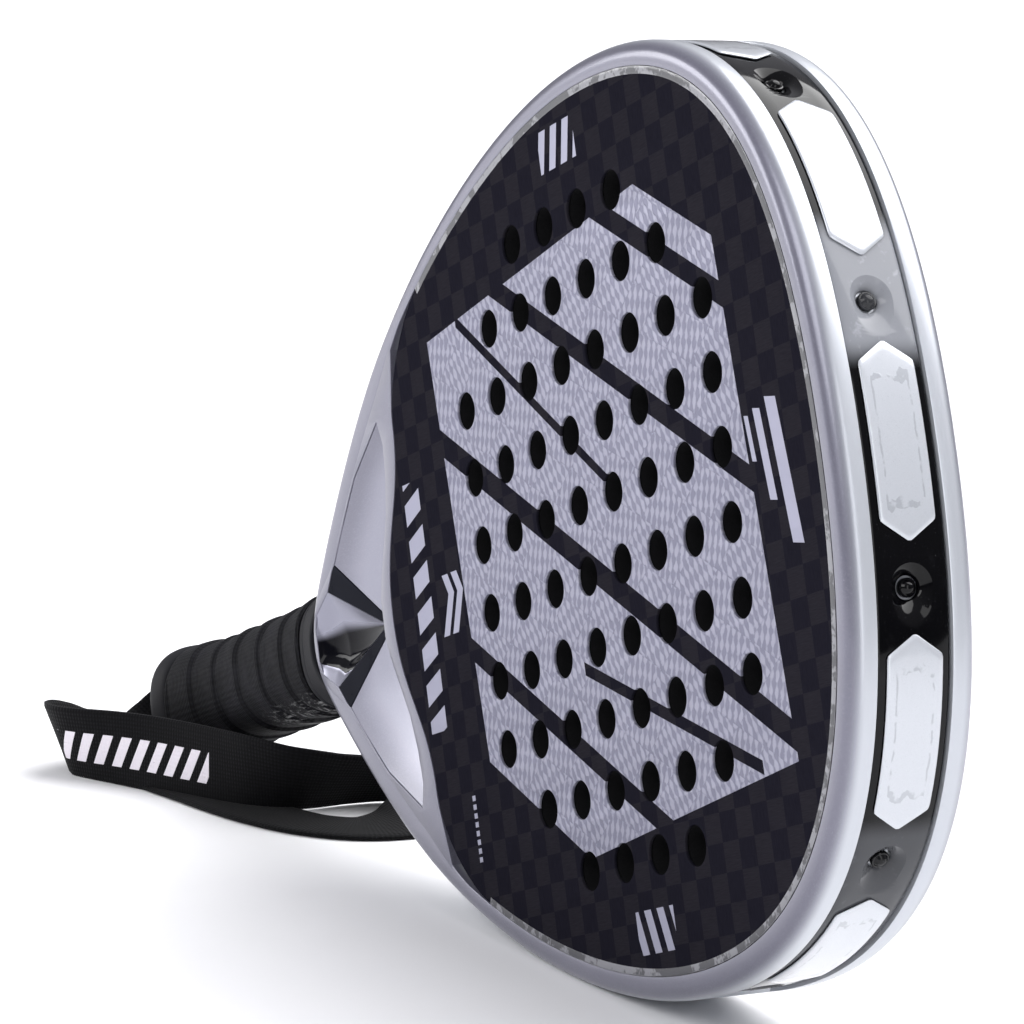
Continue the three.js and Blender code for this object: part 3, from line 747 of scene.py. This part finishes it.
def hole_rings(radius, sides):
    """Circles on a square grid: ten rows of eight, with the outer rows shorter."""
    angle = np.linspace(0, 2 * math.pi, sides, endpoint=False)
    circle = np.stack([np.cos(angle), np.sin(angle)], -1) * radius
    rings = []
    for row in np.arange(-4.5, 5):
        reach = max(min(3.5, 6 - abs(row)), 1.5)
        rings += [circle + [k * HOLE_PITCH, row * HOLE_PITCH] for k in np.arange(-reach, reach + 1)]
    return rings


# ---------------------------------------------------------------- throat

ARM = [(-172.2, 22.9), (-178.6, 15.1), (-152.5, 0.4), (-150.5, 1.9)]
ARM_W = [18.92, 18.92, 12.6, 12.6]
WELL_RAIL = [(-129.8, 59.5), (-150, 46)]
WELL_HEAD = [(-141.2, 5.5), (-139.2, 12), (-135.2, 21), (-130.8, 31), (-128.2, 42), (-127.3, 52)]
WELL_HEAD_W = [9.5, 9.8, 10.4, 11, 13, 16]
PIT = [(-150.5, -0.1), (-141.3, -0.1)]
TROUGH_END = (-190.3, 8.4)
DECK_W = HALF_THICK + 0.02
FLOOR_W = HALF_THICK - 0.15


def throat_deck(finish):
    """The block's flat deck between the frame's arms. Its one opening holds the wells, the
    arms and the trough, and its rim laps over the frame so that no joint shows."""
    reach = 297.0
    rail = np.linspace(reach, PERIMETER - reach, 160)
    outline = inset(rail, border_at(rail) - 1.2)
    face = face_outline()
    joint = face[(face[:, 0] < -112) & (np.abs(face[:, 1]) < 66)]
    joint = joint[np.argsort(joint[:, 1])] - [GAP + 0.1, 0]
    outline = outline[(outline[:, 0] < -114)]
    outline = np.concatenate([outline, joint])
    half = np.array(WELL_RAIL + ARM[:2] + [TROUGH_END])
    head = np.array(WELL_HEAD)
    opening = np.concatenate([half, half[::-1] * [1, -1], head[::-1] * [1, -1], head])
    plate_of("throat_deck", outline, [opening], -DECK_W, DECK_W, 0.25, finish, "throat_block")


def faceted(name, rim, heights, top, finish, node, up):
    """A body of flat facets, the same on both faces: the rim's points at these heights out of
    the middle plane, joined by the top facets, with walls between the two sides."""
    count = len(rim)
    points = [(u, v * up, side * h) for side in (1, -1) for (u, v), h in zip(rim, heights)]
    faces = [*top, *(tuple(k + count for k in reversed(face)) for face in top)]
    faces += [(k, (k + 1) % count, (k + 1) % count + count, k + count) for k in range(count)]
    mesh = bpy.data.meshes.new(name)
    mesh.from_pydata(leaned(np.array(points, float)).tolist(), [], faces)
    outward(mesh)
    obj = dressed(name, mesh, finish, node, 60)
    bevel = obj.modifiers.new("softened", "BEVEL")
    bevel.width = 0.0004
    bevel.segments = 3
    bevel.limit_method = "ANGLE"
    bevel.angle_limit = math.radians(9)
    bevel.harden_normals = True


def side_well(name, up, finish):
    """The floor of a side well: a plane that falls from the rail towards the head, and a facet
    that falls on from its crease to the chevron's arm and the pit in the middle."""
    rim = [*WELL_RAIL, ARM[0], ARM[3], *PIT, *WELL_HEAD]
    heights = [FLOOR_W, FLOOR_W, FLOOR_W, ARM_W[3], 12.4, 9.5, *WELL_HEAD_W]
    top = [(1, 2, 8), (1, 8, 9), (1, 9, 10), (1, 10, 11), (1, 11, 0), (2, 7, 8), (2, 3, 7)]
    top += [(3, 6, 7), (3, 4, 5, 6)]
    faceted(name, rim, heights, top, finish, None, up)


def middle_trough(finish):
    """The trough between the arms, the same on both faces. Across it, t runs from 1 at the
    upper arm to -1 at the lower one. The upper side falls as a quarter sine to the keel. Past
    the keel it rises steeply to a crest, and a flat facet runs from there to the lower arm."""
    u = np.linspace(TROUGH_END[0], ARM[2][0], 70)[:, None]
    sides = np.array([TROUGH_END, ARM[1], ARM[2]])
    half = np.interp(u, sides[:, 0], sides[:, 1])
    brim = np.interp(u, [ARM[1][0], ARM[2][0]], [FLOOR_W, ARM_W[2]])
    run = (u - u[0]) / (u[-1] - u[0])
    depth = 5.6 * np.sin(math.pi * run**0.7) ** 0.9 + 0.05
    crest = np.interp(u, [-190, -182, -163, -152], [-0.72, -0.68, -0.985, -0.985])
    keel = -0.15
    fall = np.linspace(0, 1, 26)[None, :]
    rise = np.linspace(0, 1, 10)[None, 1:]
    slope = np.linspace(0, 1, 8)[None, 1:]
    t_fall = 1 + (keel - 1) * fall + 0 * u
    t_rise = keel + (crest - keel) * rise
    t_slope = crest + (-1 - crest) * slope
    w_fall = depth * np.sin(fall * math.pi / 2)
    w_rise = depth * (1 - 0.5 * ease(0.35, 1, rise))
    w_slope = depth * 0.5 * (1 - slope)
    t = np.concatenate([t_fall, t_rise, t_slope], 1)
    w = brim - np.concatenate([w_fall, w_rise, w_slope], 1)
    front = np.stack([u + 0 * t, t * half, w], -1)
    grid = np.concatenate([front, front[:, ::-1] * [1, 1, -1]], 1)
    count = grid.shape[1]
    t_all = np.concatenate([t, t[:, ::-1]], 1)
    t_all = np.concatenate([t_all[:1], t_all, t_all[-1:]])
    crests = np.concatenate([crest[:1], crest, crest[-1:]])[:, 0]
    place = (lambda i, j: t_all[i, j % count], lambda i, j: t_all[i, j % count] - crests[i])
    sheet_of("middle_trough", capped(grid), finish, None, uv=place, crease=28)


def throat_arms(finish):
    """Dark bars that fall from the rails to the pit. Each is one body from face to face, and
    stands for the front and the rear bar of its side."""
    for half, up in (("upper", 1), ("lower", -1)):
        node = [f"throat_arm_front_{half}", f"throat_arm_rear_{half}"]
        faceted(f"arm_{half}", ARM, ARM_W, [(0, 1, 2, 3)], finish, node, up)


# ---------------------------------------------------------------- edge guard


def carve(obj, cutters):
    """Takes the cutters out of obj and leaves a plain mesh."""
    for cutter in cutters:
        boolean = obj.modifiers.new("carve", "BOOLEAN")
        boolean.operation = "DIFFERENCE"
        boolean.solver = "EXACT"
        boolean.object = cutter
    graph = bpy.context.evaluated_depsgraph_get()
    mesh = bpy.data.meshes.new_from_object(obj.evaluated_get(graph))
    obj.modifiers.clear()
    old, obj.data = obj.data, mesh
    mesh.name = old.name
    bpy.data.meshes.remove(old)
    for cutter in cutters:
        bpy.data.objects.remove(cutter)
    return obj


def on_edge(s_middle, a, w, d):
    """a mm along the edge from s_middle, w off the middle plane and d deep."""
    return round_edge(s_middle + a + PERIMETER, w, d)


def teardrop_tool(s_middle, finish):
    """A teardrop mouth that narrows, slightly hollow, to a round bore. Its point is towards
    smaller s: the radius grows by the cube of the cosine on that side."""
    angle = np.linspace(0, 2 * math.pi, 72, endpoint=False)[None, :]
    depth = np.array([-3.0, 0.0, 0.25, 0.8, 1.5, 2.2, 2.6, 2.8, 8.0])[:, None]
    share = np.array([1.2, 1.0, 0.93, 0.80, 0.66, 0.56, 0.52, 0.5, 0.5])[:, None]
    pull = np.array([0.6, 0.6, 0.56, 0.42, 0.25, 0.1, 0.04, 0.0, 0.0])[:, None]
    lobe = np.maximum(0, np.cos(angle)) ** 3
    radius = DIMPLE_R * share * (1 + pull * lobe)
    grid = on_edge(s_middle, -radius * np.cos(angle), radius * np.sin(angle), GUARD_TOP + depth)
    return sheet_of("tool", capped(grid), finish, None)


def guard_strip(finish):
    """A band round the head in its channel, with a soft rim, carved by the six dimples."""
    s = np.linspace(-GUARD_REACH + 3, GUARD_REACH - 3, 330)[:, None]
    top, low = GUARD_TOP, CHANNEL_DEPTH - 2 * GAP
    across = [1.0, 0.99, 0.96, 0.6, 0.2, -0.2, -0.6, -0.96, -0.99, -1.0, -1.0, -0.5, 0.5, 1.0]
    depth = [top + 0.45, top + 0.12, *[top] * 6, top + 0.12, top + 0.45, *[low] * 4]
    grid = round_edge(s + PERIMETER, np.array([across]) * GUARD_HALF, np.array([depth]))
    strip = sheet_of("guard_strip", capped(grid), finish, "edge_guard")
    tools = [teardrop_tool(k * WINDOW_STEP, finish) for k in np.arange(-2.5, 3)]
    carve(strip, tools).data.set_sharp_from_angle(angle=math.radians(24))


def screw(number, finish):
    """A domed screw head at the bottom of a dimple: a profile turned about the edge's normal,
    with a shallow dished ring round the dome."""
    s_middle = (number - 3.5) * WINDOW_STEP
    angle = np.linspace(0, 2 * math.pi, 48, endpoint=False)[None, :]
    radius = NUB_R * np.array([0.0, 0.92, 1.0, 1.0, 0.94, 0.8, 0.72, 0.6, 0.42, 0.22, 0.0])[:, None]
    height = np.array([0.0, 0.0, 0.1, 1.1, 1.3, 1.32, 1.5, 2.0, 2.35, 2.5, 2.54])[:, None]
    deep = CHANNEL_DEPTH - GAP - height
    grid = on_edge(s_middle, radius * np.cos(angle), radius * np.sin(angle), deep)
    node = f"guard_screw_{number}"
    return sheet_of(f"screw_{number}", grid, finish, node)


def hexagon(count):
    """A long hexagon with rounded corners: its six corners cut back and joined by short arcs."""
    a, b = WINDOW_HALF, WINDOW_SHOULDER
    h = WINDOW_HALF_WIDTH
    corners = np.array([(a, 0), (b, h), (-b, h), (-a, 0), (-b, -h), (b, -h)], float)
    path = []
    for k in range(6):
        before, here, after = corners[k - 1], corners[k], corners[(k + 1) % 6]
        start = here + (before - here) / np.linalg.norm(before - here) * 1.6
        end = here + (after - here) / np.linalg.norm(after - here) * 1.6
        path.append(bezier([start, here, here, end], 8))
    path = np.concatenate(path)
    path = np.concatenate([path, path[:1]])
    run = np.concatenate([[0], np.cumsum(np.linalg.norm(np.diff(path, axis=0), axis=1))])
    at = np.linspace(0, run[-1], count, endpoint=False)
    return np.stack([np.interp(at, run, path[:, k]) for k in (0, 1)], -1)


def window(number, finish):
    """A clear lens plate with a chamfered rim: the hexagon shrunk in rings, from the middle of
    its back over the rim to the middle of its top."""
    s_middle = (number - 3) * WINDOW_STEP
    ring = hexagon(120)[None]
    share = np.array([0.0, 0.5, 0.985, 1.0, 1.0, 0.985, 0.94, 0.90, 0.6, 0.3, 0.0])[:, None]
    deep = np.array([0.6, 0.6, 0.6, 0.55, 0.35, 0.18, 0.05, 0.0, -0.02, -0.02, -0.02])[:, None]
    a, b = ring[..., 0] * share, ring[..., 1] * share
    grid = on_edge(s_middle, a, b, deep)
    uv = (lambda i, j: a[i, j % 120], lambda i, j: b[i, j % 120])
    node = f"guard_window_{number}"
    return sheet_of(f"window_{number}", grid, finish, node, uv=uv)


# ---------------------------------------------------------------- handle


def squircle(angle, half_v, half_w):
    """A rounded square: |v/half_v| and |w/half_w| to the power 2.5 add up to 1."""
    c, s = np.cos(angle), np.sin(angle)
    power = 2 / 2.5
    return half_v * np.sign(c) * np.abs(c) ** power, half_w * np.sign(s) * np.abs(s) ** power


def tube(name, u, half_v, half_w, sides, finish, node, uv=None, crease=35):
    """Rounded-square rings at u, all arrays shaped (rings, 1) or (rings, sides), looped."""
    angle = np.linspace(0, 2 * math.pi, sides, endpoint=False)[None, :]
    v, w = squircle(angle, half_v, half_w)
    u, v, w = np.broadcast_arrays(u, v, w)
    return sheet_of(name, np.stack([u, v, w], -1), finish, node, True, uv, crease)


def wrapped_grip(finish):
    """A tape wound on in a helix. The radius swells at both ends of the grip, and each turn
    rises over the last one: a saw in (u / pitch + angle), steep on one side, soft on the other."""
    count, sides = 330, 144
    u = np.linspace(GRIP_U, GRIP_END_U, count)[:, None]
    angle = np.linspace(0, 2 * math.pi, sides, endpoint=False)[None, :]
    phase = ((GRIP_U - u) / WRAP_PITCH + angle / (2 * math.pi)) % 1.0
    fall = 1 - 0.75 * ease(0.12, 1.0, phase) - 0.25 * ease(0.8, 1, phase)
    rise = np.where(phase < 0.12, ease(0, 0.12, phase), fall)
    ripple = 0.10 * np.sin(6 * angle + phase * 9) * np.sin(3.1 * angle - u * 0.11)
    half = 18.25 + 2.2 * ease(-285, -320, u) + 1.1 * ease(-232, -206, u)
    half = half - 0.45 + 1.0 * rise + ripple
    closing = ease(GRIP_END_U, GRIP_END_U + 1.6, u) * ease(GRIP_U, GRIP_U - 1.2, u)
    half = half - 0.7 * (1 - closing)
    inner = np.full((2, sides), 16.6)
    u_all = np.concatenate([np.repeat(u, sides, 1), [[GRIP_END_U] * sides, [GRIP_U] * sides]])
    half_v = np.concatenate([half, inner])
    half_w = np.concatenate([half - 1.0, inner - 1.0])
    step = (GRIP_U - GRIP_END_U) / count
    uv = (
        lambda i, j: np.minimum(i, count) * step + j * WRAP_PITCH / sides,
        lambda i, j: j * 0.82,
    )
    tube("wrapped_grip", u_all, half_v, half_w, sides, finish, "overgrip", uv, 50)


def collar_ring(finish):
    """A flared rubber ring whose front end follows the nose of the frame."""
    sides = 144
    angle = np.linspace(0, 2 * math.pi, sides, endpoint=False)[None, :]
    t = np.linspace(0, 1, 26)[:, None]
    flare = ease(0.0, 1.0, t)
    v, w = squircle(angle, 19.5 + 2.6 * flare, 17.95 + 0.7 * flare)
    nose = EDGE[(EDGE[:, 0] < -150) & (np.abs(EDGE[:, 1]) < 30)]
    nose = nose[np.argsort(nose[:, 1])]
    front = np.interp(v, nose[:, 1], nose[:, 0]) - GAP
    u = GRIP_U + GAP + (front - GRIP_U - GAP) * t
    groove = 0.35 * np.exp(-(((u + 203.6) / 0.5) ** 2))
    soft = 0.5 * (1 - np.minimum(1, np.minimum(t, 1 - t) * 14)) ** 2
    v, w = v * (1 - (groove + soft) / 20), w * (1 - (groove + soft) / 20)
    inner_v, inner_w = squircle(angle, 16.6, 15.6)
    back = np.stack([np.full_like(inner_v, GRIP_U + GAP), inner_v, inner_w], -1)
    front_in = np.interp(inner_v, nose[:, 1], nose[:, 0]) - GAP
    fore = np.stack([front_in, inner_v, inner_w], -1)
    grid = np.concatenate([np.stack([u, v, w], -1), fore, back])
    sheet_of("collar_ring", grid, finish, "grip_collar", row_loop=True, crease=50)


def butt(finish):
    """A rounded end cap with a slot for the strap, its profile eased over the rim."""
    sides = 96
    angle = np.linspace(0, 2 * math.pi, sides, endpoint=False)[None, :]
    behind = np.array([11.9, 11.9, 11.6, 10, 8, 5.5, 3.5, 2, 0.9, 0.2, 0, 0])[:, None]
    u = BUTT_U + behind
    half = np.array([0.0, 19.9, 20.3, 20.9, 21.3, 21.5, 21.5, 21.2, 20.5, 19.3, 18.2, 0.0])[:, None]
    v, w = squircle(angle, half, np.maximum(half - 1, 0))
    u, v, w = np.broadcast_arrays(u, v, w)
    grid = np.stack([u, v, w], -1)
    cap = sheet_of("butt_end", grid, finish, "butt_cap", crease=40)
    ring_v, ring_w = squircle(angle, 14.7, 4.6)
    depth = np.array([-340.0, -340, -332, -330.6, -329.9, -323, -323])[:, None]
    grow = np.array([0.0, 1.06, 1.06, 1.04, 1.0, 1.0, 0.0])[:, None]
    u, v, w = np.broadcast_arrays(depth, ring_v * grow, ring_w * grow)
    tool = sheet_of("tool", np.stack([u, v, w], -1), finish, None)
    carve(cap, [tool])
    cap.data.set_sharp_from_angle(angle=math.radians(40))


# ---------------------------------------------------------------- wrist strap

# The strap's route from the butt and back: along the floor from the butt's end, towards the
# front, lift above lying on the floor, and roll: 0 flat, 90 on edge.
STRAP_ROUTE = [
    (-4.4, 1.8, 3.9, -90),
    (-6.6, 2.6, 3, -88),
    (-8.8, 5.2, 1.8, -76),
    (-9.2, 9.5, 0.6, -54),
    (-7.4, 15.5, 0.2, -32),
    (2, 23.5, 0.2, -14),
    (17, 26, 0.2, -4),
    (34, 24.5, 0.2, 0),
    (52, 21.5, 0.2, 0),
    (71, 18.5, 0.2, 0),
    (90, 14, 0.2, 0),
    (107, 6.5, 0.2, 0),
    (118, -5, 0.2, 2),
    (120, -19, 0.2, 8),
    (113, -32, 0.2, 20),
    (100, -37, 0.2, 32),
    (91, -31, 0.2, 40),
    (89, -19, 0.2, 47),
    (90, -6, 0.3, 54),
    (88, 6, 0.5, 64),
    (79, 15.5, 0.4, 78),
    (66, 22.5, 0.2, 87),
    (52, 29, 0.2, 90),
    (38, 36, 0.2, 88),
    (26, 43.5, 0.2, 82),
    (16, 50.5, 0.2, 76),
    (7, 54.5, 0.2, 72),
    (-0.5, 53, 0.4, 66),
    (-5, 46, 0.6, 54),
    (-7.5, 37, 0.6, 40),
    (-9, 26, 0.4, 29),
    (-12.5, 16, 0.4, 28),
    (-14, 8.5, 1, 44),
    (-12.2, 1.5, 2.2, 72),
    (-8, -2.1, 3, 88),
    (-4.4, -1.8, 3.9, 90),
]


def through(points, count):
    """A smooth curve through the points: cubic steps whose slopes come from each point's two
    neighbours, on knots spaced by the root of the distance, then spaced evenly by length."""
    points = np.asarray(points, float)
    gaps = np.sqrt(np.linalg.norm(np.diff(points[:, :3], axis=0), axis=1))
    knots = np.concatenate([[0], np.cumsum(gaps)])
    slope = np.gradient(points, knots, axis=0)
    t = np.linspace(0, knots[-1], 4000)
    k = np.clip(np.searchsorted(knots, t, side="right") - 1, 0, len(knots) - 2)
    h = (knots[k + 1] - knots[k])[:, None]
    x = (t[:, None] - knots[k][:, None]) / h
    dense = points[k] * (1 + 2 * x) * (1 - x) ** 2 + slope[k] * h * x * (1 - x) ** 2
    dense += points[k + 1] * x**2 * (3 - 2 * x) + slope[k + 1] * h * x**2 * (x - 1)
    run = np.concatenate([[0], np.cumsum(np.linalg.norm(np.diff(dense[:, :3], axis=0), axis=1))])
    at = np.linspace(0, run[-1], count)
    return np.stack([np.interp(at, run, column) for column in dense.T], -1), at


def strap_band(finish):
    """The route carried as a flat section with rounded edges, its width turned by the roll."""
    butt_x = HEAD_X + math.cos(LEAN) * BUTT_U / 1000
    route = np.array(STRAP_ROUTE, float)
    roll = np.radians(route[:, 3])
    up = route[:, 2] + (STRAP_WIDTH * abs(np.sin(roll)) + STRAP_THICK * abs(np.cos(roll))) / 2
    knots = np.column_stack([route[:, 0], -route[:, 1], up, roll])
    line, at = through(knots, 420)
    middle, roll = line[:, :3], line[:, 3:]
    tangent = np.gradient(middle, axis=0)
    tangent /= np.linalg.norm(tangent, axis=1, keepdims=True)
    level = np.column_stack([-tangent[:, 1], tangent[:, 0], np.zeros(len(at))])
    level /= np.linalg.norm(level, axis=1, keepdims=True)
    rise = np.cross(tangent, level)
    width = level * np.cos(roll) + rise * np.sin(roll)
    face = np.cross(width, tangent)
    ribs = 22
    half = np.linspace(1, -1, ribs)
    thick = (STRAP_THICK / 2) * np.minimum(1, ((1 - np.abs(half)) * 14 + 0.25)) ** 0.5
    across = np.concatenate([half, half[::-1]]) * STRAP_WIDTH / 2
    proud = np.concatenate([thick, -thick[::-1]])
    section = width[:, None] * across[None, :, None] + face[:, None] * proud[None, :, None]
    grid = capped(middle[:, None] + section) / 1000 + [butt_x, 0, 0]
    v_of = np.concatenate([across[:ribs], -STRAP_WIDTH - across[ribs:], [-1.5 * STRAP_WIDTH]])
    reach = np.concatenate([at[:1], at, at[-1:]])
    uv = (lambda i, j: reach[i], lambda i, j: v_of[j])
    band = sheet_of(
        "strap_band", grid, finish, "wrist_strap", uv=uv, crease=60, lean=False
    )
    path = middle / 1000 + [butt_x, 0, 0]
    path[::4].tolist() + [path[-1].tolist()]


# ---------------------------------------------------------------- assembly

# The number scales the painted reflection band: full on the strip, faint on the screws.
GUARD = guard_gloss("guard_gloss", 1.0)
SCREW = guard_gloss("screw_gloss", 0.12)
WEBBING = webbing()
strap_band(WEBBING)

# Paler colours that stand for the light on the outer wall and the deep well floors: painted light.
THROAT_PALER_LIT_SILVER = (0.26, 0.26, 0.32)
RIM_PALER_LIT_SILVER = (0.46, 0.48, 0.52)
SILVER = silver_lacquer("silver_lacquer", THROAT_PALER_LIT_SILVER)
RIM = silver_lacquer("rim_lacquer", RIM_PALER_LIT_SILVER)
CARBON = carbon_face()
EDGE_LACQUER = edge_lacquer()
FOAM = foam()
NAVY = navy_inlay()
TROUGH = trough_gloss()
WINDOW = window_silver()
WRAP = grip_wrap()
RUBBER = soft_rubber()

frame_shell(RIM)
OUTLINE = face_outline()
HOLES = hole_rings(HOLE_R, 40)
skin_low = HALF_THICK - FACE_SKIN
for side, low, high in (("front", skin_low, HALF_THICK), ("rear", -HALF_THICK, -skin_low)):
    node = f"face_{side}"
    plate_of(f"{side}_skin", OUTLINE, HOLES, low, high, 0.3, CARBON, node)
core_half = HALF_THICK - FACE_SKIN - GAP
WIDE_HOLES = hole_rings(HOLE_R + 0.3, 40)
plate_of("foam_core", OUTLINE, WIDE_HOLES, -core_half, core_half, 0.1, FOAM, "core")
lacquer_line("lacquer_front", 1, EDGE_LACQUER)
lacquer_line("lacquer_rear", -1, EDGE_LACQUER)

throat_deck(SILVER)
side_well("well_upper", 1, SILVER)
side_well("well_lower", -1, SILVER)
middle_trough(TROUGH)
throat_arms(NAVY)

guard_strip(GUARD)
for number in range(1, 7):
    screw(number, SCREW)
for number in range(1, 6):
    window(number, WINDOW)

wrapped_grip(WRAP)
collar_ring(RUBBER)
butt(RUBBER)

for node, finish in (("handle_core", CARBON), ("base_grip", RUBBER), ("strap_anchor", WEBBING)):
    kept = frame["nodes"][node]
    kept.data.materials.clear()
    kept.data.materials.append(finish.material)

# ---------------------------------------------------------------- room and light

RACKET_MIDDLE = (0.05, 0, 0.12)


def floor():
    """A wide pale floor: rings of points out to 40 m."""
    finish = Finish("floor_paint", Specular_IOR_Level=0.3)
    place = finish.add("ShaderNodeTexCoord").outputs["Object"]
    grain = finish.noise(place, 30.0, 3)
    finish.set("Base Color", finish.mix(grain, (0.86, 0.86, 0.87), (0.88, 0.88, 0.89)))
    finish.set("Roughness", 0.6 + grain * 0.1)
    mesh = bpy.data.meshes.new("floor")
    angle = np.linspace(0, 2 * math.pi, 64, endpoint=False)
    ring = np.stack([np.cos(angle), np.sin(angle), 0 * angle], -1) * 40
    mesh.from_pydata(ring.tolist(), [], [list(range(64))])
    mesh.materials.append(finish.material)
    obj = bpy.data.objects.new("floor", mesh)
    bpy.context.scene.collection.objects.link(obj)
    obj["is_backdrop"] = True


def softbox(name, at, size, watts):
    """A white rectangular lamp at a place, turned to the racket. The camera doesn't see it."""
    light = bpy.data.lights.new(name, "AREA")
    light.shape = "RECTANGLE"
    light.size, light.size_y = size
    light.energy = watts
    obj = bpy.data.objects.new(name, light)
    bpy.context.scene.collection.objects.link(obj)
    obj.location = at
    obj.visible_camera = False
    obj.rotation_mode = "QUATERNION"
    obj.rotation_quaternion = (Vector(RACKET_MIDDLE) - Vector(at)).to_track_quat("-Z", "Y")


def surroundings():
    """White for the eye. For light and reflections, a room that is dark at eye level and
    pale overhead."""
    world = bpy.data.worlds.new("studio")
    bpy.context.scene.world = world
    world.use_nodes = True
    nodes, links = world.node_tree.nodes, world.node_tree.links
    nodes.clear()
    out = nodes.new("ShaderNodeOutputWorld")
    mix = nodes.new("ShaderNodeMixShader")
    seen = nodes.new("ShaderNodeBackground")
    room = nodes.new("ShaderNodeBackground")
    ray = nodes.new("ShaderNodeLightPath")
    place = nodes.new("ShaderNodeTexCoord")
    split = nodes.new("ShaderNodeSeparateXYZ")
    height = nodes.new("ShaderNodeMapRange")
    seen.inputs[0].default_value = (1, 1, 1, 1)
    room.inputs[0].default_value = (0.93, 0.93, 1.0, 1)
    for key, value in ((1, 0.0), (2, 0.7), (3, 0.10), (4, 0.55)):
        height.inputs[key].default_value = value
    links.new(place.outputs["Generated"], split.inputs[0])
    links.new(split.outputs[2], height.inputs[0])
    links.new(height.outputs[0], room.inputs[1])
    links.new(ray.outputs["Is Camera Ray"], mix.inputs[0])
    links.new(room.outputs[0], mix.inputs[1])
    links.new(seen.outputs[0], mix.inputs[2])
    links.new(mix.outputs[0], out.inputs[0])


def dome(name, towards_light, width, strength):
    """A round light far away, width degrees across: it lights the whole floor evenly."""
    light = bpy.data.lights.new(name, "SUN")
    light.angle = math.radians(width)
    light.energy = strength
    obj = bpy.data.objects.new(name, light)
    bpy.context.scene.collection.objects.link(obj)
    obj.rotation_mode = "QUATERNION"
    obj.rotation_quaternion = (-Vector(towards_light)).to_track_quat("-Z", "Y")


floor()
surroundings()
dome("overhead", (0.04, 0.556, 0.83), 66, 4.4)
softbox("front_fill", (0.75, -1.9, 1.5), (1.2, 1.2), 22)
softbox("front_left", (-1.35, -1.3, 0.55), (1.1, 0.6), 14)
softbox("right_side", (1.95, 0.0, 0.65), (0.6, 1.3), 6.5)
bpy.context.scene.view_settings.view_transform = "Standard"

low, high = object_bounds()
